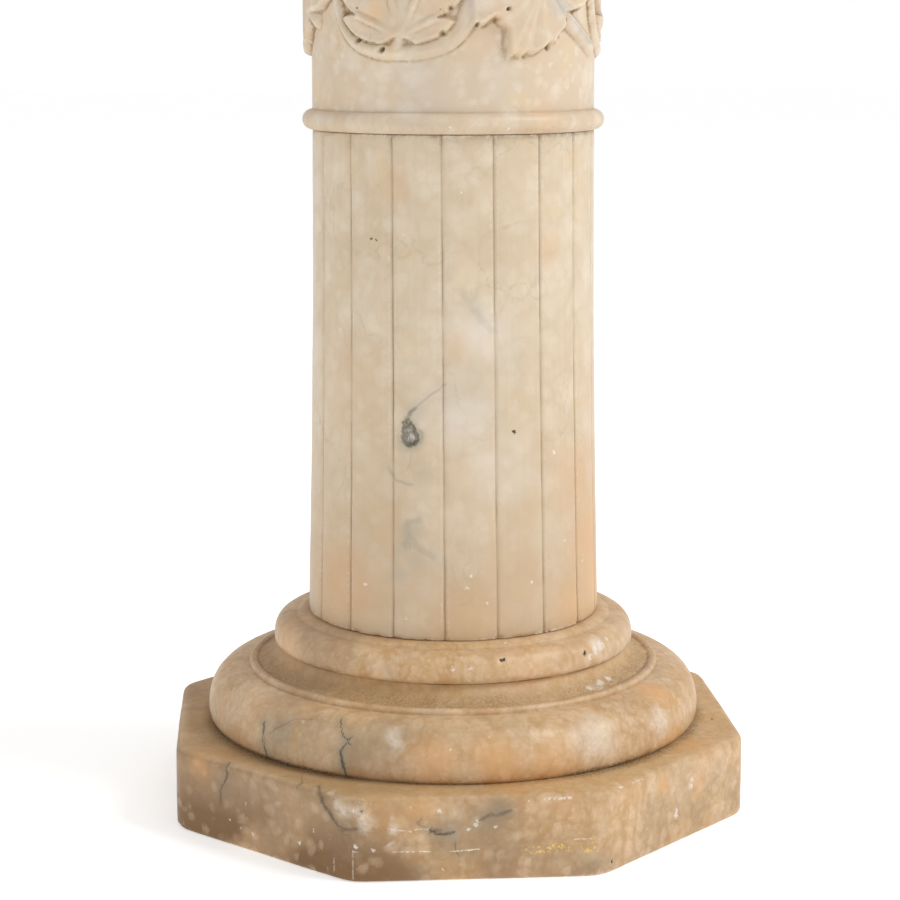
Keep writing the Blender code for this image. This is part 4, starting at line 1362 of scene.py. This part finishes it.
def drilled_holes():
    """The holes beside the blossom and round the leaf. Those of the leaf come again at the upper leaf."""
    for angle, level, radius in DRILLED_HOLES:
        yield math.radians(angle), level, radius
        if math.radians(angle) > LINK_START[0]:
            yield 2 * LINK_MIDDLE[0] - math.radians(angle), 2 * LINK_MIDDLE[1] - level, radius


def vine(angles, heights):
    """How far the vine stands out at each angle and height, and where its holes are drilled."""
    relief = np.zeros((len(heights), len(angles)))
    drilled = np.zeros_like(relief)
    behind, centre, reach = (math.radians(turn) for turn in REPEAT_SPAN)
    for repeat, link_length in enumerate(LINK_LENGTHS):
        link_end = tuple(start + (end - start) * link_length for start, end in zip(LINK_START, LINK_END))
        stems = (
            roundel_path(),
            bar_path(LINK_START, link_end, LINK_SWAY, LINK_HALF_WIDTH, LINK_HALF_WIDTH),
            bar_path(STALK_FOOT, BLOSSOM_HEART, 0.0, STALK_HALF_WIDTH, STALK_HALF_WIDTH * 0.6, 24),
        )
        middle = FIRST_ROUNDEL + FULL_TURN * repeat / len(LINK_LENGTHS)
        from_middle = (angles - middle + behind) % FULL_TURN - behind
        near = np.abs(from_middle - centre) < reach
        across, height = np.meshgrid(from_middle[near] * DRUM_RADIUS, heights)
        where = np.stack([across, height, np.full_like(across, repeat * 0.7)], axis=-1)
        across = across + 0.0009 * cloudy(where, 0.022, 60 + repeat, 2)
        height = height + 0.0009 * cloudy(where, 0.022, 70 + repeat, 2)
        heart = (BLOSSOM_HEART[0] * DRUM_RADIUS, BLOSSOM_HEART[1])
        nearest = [from_stem(across, height, path, widths) for path, widths in stems]
        layers = [stem_height(distance) for distance in nearest]
        layers.append(blossom_height(across, height, heart, nearest[0]))
        layers.append(leaf_height(across, height))
        across_turned = 2 * LINK_MIDDLE[0] * DRUM_RADIUS - across
        layers.append(leaf_height(across_turned, 2 * LINK_MIDDLE[1] - height))
        holes = np.zeros_like(across)
        ragged = 0.45 * cloudy(where, 0.0022, 80 + repeat, 2)
        for x, z, radius in drilled_holes():
            away = np.hypot(across - x * DRUM_RADIUS, height - z) / radius + ragged
            holes = np.maximum(holes, ramp(-away, -1.2, -0.5))
        relief[:, near] = np.maximum(relief[:, near], np.maximum.reduce(layers))
        drilled[:, near] = np.maximum(drilled[:, near], holes)
    return relief, drilled


def drum_rows():
    """The heights of the rings on the drum's face, closer together where it is carved."""
    face_foot, face_top = DRUM_FOOT + RING_HEIGHT, DRUM_TOP - RING_HEIGHT
    low, high = BAND_MIDDLE - CARVED_HALF_HEIGHT, BAND_MIDDLE + CARVED_HALF_HEIGHT
    spaced = np.linspace(0, 1, PLAIN_ROWS, endpoint=False)[1:] ** 1.6
    below = face_foot + (low - face_foot) * spaced
    above = (face_top + (high - face_top) * spaced)[::-1]
    return np.concatenate([below, np.linspace(low, high, CARVED_ROWS), above])


def drum_grid():
    rings = Rings()
    rings.round([(0.030, DRUM_FOOT), (0.060, DRUM_FOOT), (DRUM_RADIUS - 0.0006, DRUM_FOOT)])
    ring = half_round(DRUM_RADIUS, DRUM_FOOT, RING_HEIGHT, RING_OUT, 15)
    rings.round(ring[:7], dust=0.8)
    rings.round(ring[7:], dust=0.05)
    first = len(rings.rows)
    rings.round([(DRUM_RADIUS, z) for z in drum_rows()])
    last = len(rings.rows)
    rings.round(half_round(DRUM_RADIUS, DRUM_TOP - RING_HEIGHT, RING_HEIGHT, RING_OUT, 15))
    rings.round([(DRUM_RADIUS - 0.0006, DRUM_TOP), (0.060, DRUM_TOP), (0.030, DRUM_TOP)])
    grid = rings.grid(DRUM_COLUMNS)
    angles = np.arange(DRUM_COLUMNS) * FULL_TURN / DRUM_COLUMNS
    relief, drilled = vine(angles, grid[first:last, 0, 2] - BAND_MIDDLE)
    out = np.zeros(grid.shape[:2])
    out[first:last] = (relief + blurred(relief, 1)) / 2 + 0.00025 * cloudy(grid[first:last], 0.03, 91)
    out[first:last] -= drilled * (relief * 0.6 + 0.0009)
    direction = grid * (1, 1, 0)
    direction = direction / np.linalg.norm(direction, axis=2, keepdims=True)
    grid = grid + direction * out[..., None]
    grid = weathered(grid, WEATHER_SEEDS["carved_drum"], DRUM_UNEVENNESS, DRUM_CHIPS)
    grid[..., 2] = grid[..., 2].clip(DRUM_FOOT, DRUM_TOP)
    holes = np.zeros(grid.shape[:2])
    holes[first:last] = drilled
    return grid, rings.dust(DRUM_COLUMNS), holes


def drum_marks(grid, dust, holes):
    """The drum's marks: dirt fills the drilled holes and, in patches, the creases of the carving."""
    marks = marks_of(grid, dust, DUST_SEEDS["carved_drum"])
    carved = ramp(grid[..., 2], DRUM_FOOT + 0.022, DRUM_FOOT + 0.030)
    marks["dirt"] *= 0.35 + 0.65 * carved
    patchy = ramp(cloudy(grid, 0.016, 97), -0.35, 0.35)
    deep = ramp(-standing_out(grid, 2), 0.00010, 0.00050) * carved * (0.25 + 0.75 * patchy)
    marks["crease"] = np.maximum(holes, 0.85 * deep)
    seed = VEIN_SEEDS["carved_drum"]
    return {**marks, **stone_marks(grid, outward(grid), DRUM_VEINS, DRUM_STAINS, DRUM_WARMTH, seed)}


# Reeded shafts

SHAFT_INPUTS = (
    ("Foot", "NodeSocketFloat"),
    ("Height", "NodeSocketFloat"),
    ("Foot Radius", "NodeSocketFloat"),
    ("Top Radius", "NodeSocketFloat"),
    ("Spread", "NodeSocketFloat"),
    ("Reeds", "NodeSocketInt"),
    ("Columns", "NodeSocketInt"),
    ("Rows", "NodeSocketInt"),
    ("Groove Depth", "NodeSocketFloat"),
    ("Groove Width", "NodeSocketFloat"),
    ("Crown", "NodeSocketFloat"),
    ("Turn", "NodeSocketFloat"),
    ("Twist", "NodeSocketFloat"),
    ("Drift", "NodeSocketFloat"),
    ("Void Depth", "NodeSocketFloat"),
    ("Seed", "NodeSocketFloat"),
    ("Material", "NodeSocketMaterial"),
)
# How each shaft widens to its foot and how its grooves lean, and how deep its hole with crystals is
SHAFT_CUTTING = {
    "lower_shaft": {
        "Spread": 1.7,
        "Twist": math.radians(1.5),
        "Drift": math.radians(0.9),
        "Void Depth": 0.0030,
        "Seed": 4.0,
    },
    "upper_shaft": {
        "Spread": 1.2,
        "Twist": 0.0,
        "Drift": math.radians(0.3),
        "Void Depth": 0.0,
        "Seed": 9.0,
    },
}
GROOVE_CROWDING = 0.68
END_CROWDING = 0.6


def round_the_axis(tree, angle, reach, height):
    """The place at an angle round the axis, at a distance from it and at a height."""
    inputs = {0: angle.math("COSINE") * reach, 1: angle.math("SINE") * reach, 2: height}
    return node(tree, "ShaderNodeCombineXYZ", {}, inputs)


def reeded_shaft_tree():
    """A cylinder whose points are turned, pulled in to grooves and roughened, all by rule."""
    tree = bpy.data.node_groups.new("reeded_shaft", "GeometryNodeTree")
    for name, kind in SHAFT_INPUTS:
        tree.interface.new_socket(name=name, in_out="INPUT", socket_type=kind)
    tree.interface.new_socket(name="Geometry", in_out="OUTPUT", socket_type="NodeSocketGeometry")
    given = tree.nodes.new("NodeGroupInput")
    want = {name: Value(tree, given.outputs[name]) for name, _ in SHAFT_INPUTS}

    columns = want["Reeds"] * want["Columns"]
    inputs = {"Vertices": columns, "Side Segments": want["Rows"], "Radius": 1.0, "Depth": 1.0}
    cylinder = node(tree, "GeometryNodeMeshCylinder", {"fill_type": "TRIANGLE_FAN"}, inputs, "Mesh")
    x, y, z = (
        node(tree, "ShaderNodeSeparateXYZ", {}, {0: node(tree, "GeometryNodeInputPosition")}, axis)
        for axis in ("X", "Y", "Z")
    )
    rim = (x * x + y * y).math("SQRT")
    raw = y.math("ARCTAN2", x) * (1 / FULL_TURN) * want["Reeds"] + 0.00001
    reed = raw.math("FLOOR")
    share = raw.math("FRACT")
    share = share - (share * FULL_TURN).math("SINE") * (GROOVE_CROWDING / FULL_TURN)
    up = z + 0.5
    up = up - (up * FULL_TURN).math("SINE") * (END_CROWDING / FULL_TURN)
    level = want["Foot"] + want["Height"] * up

    own = node(
        tree,
        "ShaderNodeTexWhiteNoise",
        {"noise_dimensions": "2D"},
        {"Vector": node(tree, "ShaderNodeCombineXYZ", {}, {0: reed, 1: want["Seed"]})},
        "Value",
    )
    straight_angle = (reed + share) * FULL_TURN / want["Reeds"]
    drift = (straight_angle + FULL_TURN / 4).math("SINE") * want["Drift"]
    angle = straight_angle + want["Turn"] + drift + want["Twist"] * (1.0 - up)
    waver_at = round_the_axis(tree, angle, 1.0, level * 14.0)
    waver = node(tree, "ShaderNodeTexNoise", {}, {"Vector": waver_at, "Scale": 2.2, "Detail": 2.0}) - 0.5
    angle = angle + waver * 0.010

    widening = (1.0 - up) ** want["Spread"]
    radius = want["Top Radius"] + (want["Foot Radius"] - want["Top Radius"]) * widening
    pitch = radius * FULL_TURN / want["Reeds"]
    from_groove = share.math("MINIMUM", 1.0 - share) * pitch
    near = 1.0 - (from_groove / want["Groove Width"]).clipped()
    cut_depth = want["Groove Depth"] * (0.8 + own * 0.4)
    groove = near ** 1.7 * cut_depth
    middle = (share - 0.5) * 2.0
    crown = middle * middle * want["Crown"]

    place = round_the_axis(tree, angle, radius, level)
    wide = node(tree, "ShaderNodeTexNoise", {}, {"Vector": place, "Scale": 28.0, "Detail": 2.0}) - 0.5
    tight = node(tree, "ShaderNodeTexNoise", {}, {"Vector": place, "Scale": 170.0, "Detail": 3.0}) - 0.5
    to_end = up.math("MINIMUM", 1.0 - up) * want["Height"]
    end = 1.0 - (to_end / 0.0020).clipped()
    chipped = tight.smooth(0.0, 0.16)
    chips = end * (0.2 + chipped) * 0.0010
    lip = 1.0 - ((from_groove - want["Groove Width"]).math("ABSOLUTE") / 0.0008).clipped()
    lip_chips = lip * tight.smooth(0.08, 0.2) * 0.0005

    void = None
    for x, y, z, void_radius in CRYSTAL_VOID:
        away = place.vector("DISTANCE", (x * MM, y * MM, z * MM), output="Value") + tight * 0.003
        part = away.smooth(void_radius * MM, void_radius * 0.6 * MM)
        void = part if void is None else void.math("MAXIMUM", part)
    sunk = void * (0.7 + tight * 1.6) * want["Void Depth"]

    reach = radius - groove - crown - chips - lip_chips - sunk + wide * 0.0005 + tight * 0.00022
    reach = reach * rim
    moved = round_the_axis(tree, angle, reach, level)
    foul = (1.0 - (from_groove / (want["Groove Width"] * 0.40)).clipped()) ** 1.2
    beside = (1.0 - (from_groove / 0.0045).clipped()) ** 1.6
    far_end = 1.0 - (to_end / 0.009).clipped()
    marks = {
        "dirt": (beside * (0.16 + far_end * 0.5) + far_end * 0.16 + end * 0.25).clipped(),
        "wear": (lip * 0.35 + end).clipped(),
        "crease": foul * (1.0 - up * 0.4),
    }
    marked = cylinder
    for name, value in marks.items():
        marked = stored_mark(tree, marked, name, value)
    shaped = node(tree, "GeometryNodeSetPosition", {}, {"Geometry": marked, "Position": moved})
    smooth = node(tree, "GeometryNodeSetShadeSmooth", {}, {"Geometry": shaped})
    real = node(tree, "GeometryNodeRealizeInstances", {}, {"Geometry": smooth})
    inputs = {"Geometry": real, "Material": want["Material"]}
    finished = node(tree, "GeometryNodeSetMaterial", {}, inputs)
    out = tree.nodes.new("NodeGroupOutput")
    tree.links.new(finished.socket, out.inputs["Geometry"])
    return tree


def stored_mark(tree, geometry, name, value):
    made = tree.nodes.new("GeometryNodeStoreNamedAttribute")
    made.data_type = "FLOAT"
    made.domain = "POINT"
    made.inputs["Name"].default_value = name
    tree.links.new(geometry.socket, made.inputs["Geometry"])
    tree.links.new(value.socket, next(s for s in made.inputs if s.name == "Value" and s.enabled))
    return Value(tree, made.outputs["Geometry"])


def shaft_mesh(name, tree, sizes):
    """Runs the tree with the given sizes and returns the result as a plain mesh."""
    carrier = bpy.data.objects.new(name + "_rule", bpy.data.meshes.new(name + "_rule"))
    bpy.context.scene.collection.objects.link(carrier)
    modifier = carrier.modifiers.new("reeded_shaft", "NODES")
    modifier.node_group = tree
    for item in tree.interface.items_tree:
        if item.item_type == "SOCKET" and item.in_out == "INPUT":
            modifier[item.identifier] = sizes[item.name]
    graph = bpy.context.evaluated_depsgraph_get()
    mesh = bpy.data.meshes.new_from_object(
        carrier.evaluated_get(graph), preserve_all_data_layers=True, depsgraph=graph
    )
    carrier.modifiers.remove(modifier)
    bpy.data.objects.remove(carrier)
    return mesh


def store_marks(mesh, marks):
    for name, values in marks.items():
        stored = mesh.attributes.new(name, "FLOAT", "POINT")
        stored.data.foreach_set("value", values.astype(np.float32))


def shaft_marks(mesh):
    """The shafts' veins and patches at their own places."""
    count = len(mesh.vertices)
    points, normals = np.empty(count * 3), np.empty(count * 3)
    mesh.vertices.foreach_get("co", points)
    mesh.vertices.foreach_get("normal", normals)
    points, normals = points.reshape(-1, 3), normals.reshape(-1, 3)
    return stone_marks(points, normals, SHAFT_VEINS, SHAFT_STAINS, SHAFT_WARMTH, VEIN_SEEDS["shaft"])


# Sizes and colours that a user would change


def length_property(name, description, default):
    sizing = {"default": default, "unit": "LENGTH", "precision": 4}
    return bpy.props.FloatProperty(name=name, description=description, **sizing)


def colour_property(name, description, default):
    return bpy.props.FloatVectorProperty(
        name=name, description=description, default=default, subtype="COLOR", size=3, min=0.0, max=1.0
    )


class ColumnSizes(bpy.types.PropertyGroup):
    reeds: bpy.props.IntProperty(
        name="Reeds", description="How many reeds run round a shaft", default=18, min=8
    )
    groove_depth: length_property(
        "Groove Depth", "How deep the grooves between the reeds are cut", 0.0008
    )
    groove_width: length_property(
        "Groove Half Width", "From a groove's bottom to where the reed's face starts", 0.0017
    )
    reed_crown: length_property(
        "Reed Crown", "How far a reed's middle stands proud of its sides", 0.0005
    )
    foot_radius: length_property(
        "Lower Shaft Foot Radius", "Radius at the lower shaft's foot", 0.0801
    )
    top_radius: length_property(
        "Lower Shaft Top Radius", "Radius at the lower shaft's top", 0.0755
    )
    upper_foot_radius: length_property(
        "Upper Shaft Foot Radius", "Radius at the upper shaft's foot", 0.0752
    )
    upper_top_radius: length_property(
        "Upper Shaft Top Radius", "Radius at the upper shaft's top", 0.0730
    )
    edge_wear: length_property(
        "Edge Wear", "How deep the chips in the base's edges go", 0.0011
    )


class ColumnColours(bpy.types.PropertyGroup):
    shaft_colour: colour_property("Shaft", "Ground colour of the shafts", (0.67, 0.55, 0.40))
    shaft_pale: colour_property("Shaft Nodules", "Pale nodules of the shafts", (0.80, 0.70, 0.555))
    shaft_deep: colour_property("Shaft Between", "Warmer stone between the nodules", (0.60, 0.45, 0.28))
    drum_colour: colour_property("Drum", "Ground colour of the drum", (0.665, 0.535, 0.385))
    drum_pale: colour_property("Drum Nodules", "Pale nodules of the drum", (0.80, 0.70, 0.565))
    drum_deep: colour_property("Drum Between", "Warmer stone between the nodules", (0.68, 0.52, 0.36))
    base_colour: colour_property("Base", "Ground colour of the base", (0.62, 0.40, 0.195))
    base_pale: colour_property("Base Nodules", "Pale nodules of the base", (0.79, 0.60, 0.40))
    base_deep: colour_property("Base Between", "Darker stone between the nodules", (0.46, 0.25, 0.09))
    capital_colour: colour_property("Capital", "Ground colour of the capital", (0.66, 0.50, 0.33))
    capital_pale: colour_property("Capital Nodules", "Pale nodules of the capital", (0.82, 0.69, 0.53))
    capital_deep: colour_property("Capital Between", "Warmer stone of the capital", (0.58, 0.38, 0.20))


# Operators


class COLUMN_OT_make_base(bpy.types.Operator):
    """Make the octagonal plinth with its mouldings"""

    bl_idname = "column.make_base"
    bl_label = "Make Base"

    def execute(self, context):
        scene = context.scene
        grid, dust = base_grid(scene.column_sizes.edge_wear)
        mesh = skin("base_stone", grid, base_marks(grid, dust))
        place("base", mesh, base_alabaster(scene.column_colours), "base_alabaster")
        return {"FINISHED"}


class COLUMN_OT_make_shafts(bpy.types.Operator):
    """Make the two reeded shafts"""

    bl_idname = "column.make_shafts"
    bl_label = "Make Shafts"

    def execute(self, context):
        sizes = context.scene.column_sizes
        material = shaft_alabaster(context.scene.column_colours)
        tree = reeded_shaft_tree()
        shared = {
            "Reeds": sizes.reeds,
            "Columns": REED_COLUMNS,
            "Rows": SHAFT_ROWS,
            "Groove Depth": sizes.groove_depth,
            "Groove Width": sizes.groove_width,
            "Crown": sizes.reed_crown,
            "Turn": math.radians(1.1),
            "Material": material,
        }
        radii = {
            "lower_shaft": (sizes.foot_radius, sizes.top_radius),
            "upper_shaft": (sizes.upper_foot_radius, sizes.upper_top_radius),
        }
        for name, (foot_radius, top_radius) in radii.items():
            low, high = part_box(name)
            own = {
                "Foot": low[2],
                "Height": high[2] - low[2],
                "Foot Radius": foot_radius,
                "Top Radius": top_radius,
            }
            mesh = shaft_mesh(name, tree, {**shared, **own, **SHAFT_CUTTING[name]})
            store_marks(mesh, shaft_marks(mesh))
            place(name, mesh, material, "shaft_alabaster")
        return {"FINISHED"}


class COLUMN_OT_make_drum(bpy.types.Operator):
    """Make the drum with the carved vine"""

    bl_idname = "column.make_drum"
    bl_label = "Make Carved Drum"

    def execute(self, context):
        grid, dust, holes = drum_grid()
        mesh = skin("carved_drum_stone", grid, drum_marks(grid, dust, holes))
        place("carved_drum", mesh, drum_alabaster(context.scene.column_colours), "drum_alabaster")
        return {"FINISHED"}


class COLUMN_OT_make_capital(bpy.types.Operator):
    """Make the capital with its octagonal abacus"""

    bl_idname = "column.make_capital"
    bl_label = "Make Capital"

    def execute(self, context):
        scene = context.scene
        grid, dust = capital_grid(scene.column_sizes.edge_wear)
        mesh = skin("capital_stone", grid, marks_of(grid, dust, DUST_SEEDS["capital"]))
        place("capital", mesh, capital_alabaster(scene.column_colours), "capital_alabaster")
        return {"FINISHED"}


class COLUMN_OT_make_stage(bpy.types.Operator):
    """Make the pale floor, the soft lights and the camera"""

    bl_idname = "column.make_stage"
    bl_label = "Make Stage"

    def execute(self, context):
        make_floor()
        make_lights()
        make_camera()
        return {"FINISHED"}


# Stage

FLOOR_SIZE = 30.0
FLOOR_WHITE = (0.92, 0.92, 0.92, 1.0)
FLOOR_GLOW = 0.42
WHITE = (1.0, 1.0, 1.0, 1.0)
ROOM_LIGHT = 0.62
# A lamp is its name, its place, what it is turned to, its width and its power
LAMPS = (
    ("key_light", (2.1, -0.85, 2.4), (0.0, 0.0, 0.25), 1.2, 37.0),
    ("fill_light", (-2.0, -1.4, 1.2), (0.0, 0.0, 0.30), 1.6, 3.0),
)
CAMERA_AZIMUTH = math.radians(-4.56)
CAMERA_YAW = math.radians(0.076)
CAMERA_PITCH = math.radians(10.328)
CAMERA_DISTANCE = 1.2494
CAMERA_HEIGHT = 0.4184
CAMERA_LENS = 92.41


def make_floor():
    half = FLOOR_SIZE / 2
    mesh = bpy.data.meshes.new("floor")
    corners = [(-half, -half, 0), (half, -half, 0), (half, half, 0), (-half, half, 0)]
    mesh.from_pydata(corners, [], [(0, 1, 2, 3)])
    floor = bpy.data.objects.new("floor", mesh)
    bpy.context.scene.collection.objects.link(floor)
    material = bpy.data.materials.new("pale_floor")
    material.use_nodes = True
    shader = material.node_tree.nodes["Principled BSDF"]
    shader.inputs["Base Color"].default_value = FLOOR_WHITE
    shader.inputs["Roughness"].default_value = 0.9
    shader.inputs["Specular IOR Level"].default_value = 0.1
    shader.inputs["Emission Color"].default_value = WHITE
    shader.inputs["Emission Strength"].default_value = FLOOR_GLOW
    mesh.materials.append(material)


def make_lights():
    scene = bpy.context.scene
    world = bpy.data.worlds.new("soft_white")
    world.use_nodes = True
    tree = world.node_tree
    background = tree.nodes["Background"]
    background.inputs["Color"].default_value = WHITE
    seen = node(tree, "ShaderNodeLightPath", {}, {}, "Is Camera Ray")
    strength = ROOM_LIGHT + seen * (1.0 - ROOM_LIGHT)
    tree.links.new(strength.socket, background.inputs["Strength"])
    scene.world = world
    for name, place_at, target, size, power in LAMPS:
        data = bpy.data.lights.new(name, "AREA")
        data.shape = "DISK"
        data.size = size
        data.energy = power
        lamp = bpy.data.objects.new(name, data)
        lamp.location = place_at
        aim = [t - p for t, p in zip(target, place_at)]
        flat = math.hypot(aim[0], aim[1])
        lamp.rotation_euler = (math.atan2(flat, -aim[2]), 0.0, math.atan2(aim[1], aim[0]) - math.pi / 2)
        scene.collection.objects.link(lamp)
    scene.view_settings.view_transform = "Standard"


def make_camera():
    data = bpy.data.cameras.new("camera")
    data.sensor_width = 36.0
    data.lens = CAMERA_LENS
    data.clip_end = 60.0
    camera = bpy.data.objects.new("camera", data)
    around = CAMERA_AZIMUTH - math.pi / 2
    across, back = CAMERA_DISTANCE * math.cos(around), CAMERA_DISTANCE * math.sin(around)
    camera.location = (across, back, CAMERA_HEIGHT)
    camera.rotation_euler = (math.pi / 2 - CAMERA_PITCH, 0.0, CAMERA_AZIMUTH + CAMERA_YAW)
    bpy.context.scene.collection.objects.link(camera)
    bpy.context.scene.camera = camera


# Panel and registration


class COLUMN_PT_panel(bpy.types.Panel):
    """Lists what the column is made of"""

    bl_label = "Alabaster Column"
    bl_idname = "COLUMN_PT_panel"
    bl_space_type = "VIEW_3D"
    bl_region_type = "UI"
    bl_category = "Column"

    def draw(self, context):
        layout = self.layout
        for group in (context.scene.column_sizes, context.scene.column_colours):
            box = layout.box()
            for name in group.__annotations__:
                box.prop(group, name)
        for operator in OPERATORS:
            layout.operator(operator.bl_idname)


OPERATORS = (
    COLUMN_OT_make_base,
    COLUMN_OT_make_shafts,
    COLUMN_OT_make_drum,
    COLUMN_OT_make_capital,
    COLUMN_OT_make_stage,
)
CLASSES = (ColumnSizes, ColumnColours, *OPERATORS, COLUMN_PT_panel)


def register():
    for made in CLASSES:
        bpy.utils.register_class(made)
    bpy.types.Scene.column_sizes = bpy.props.PointerProperty(type=ColumnSizes)
    bpy.types.Scene.column_colours = bpy.props.PointerProperty(type=ColumnColours)


def unregister():
    del bpy.types.Scene.column_colours
    del bpy.types.Scene.column_sizes
    for made in reversed(CLASSES):
        bpy.utils.unregister_class(made)


def main():
    register()
    bpy.ops.column.make_base()
    bpy.ops.column.make_shafts()
    bpy.ops.column.make_drum()
    bpy.ops.column.make_capital()
    bpy.ops.column.make_stage()


if __name__ == "__main__":
    main()
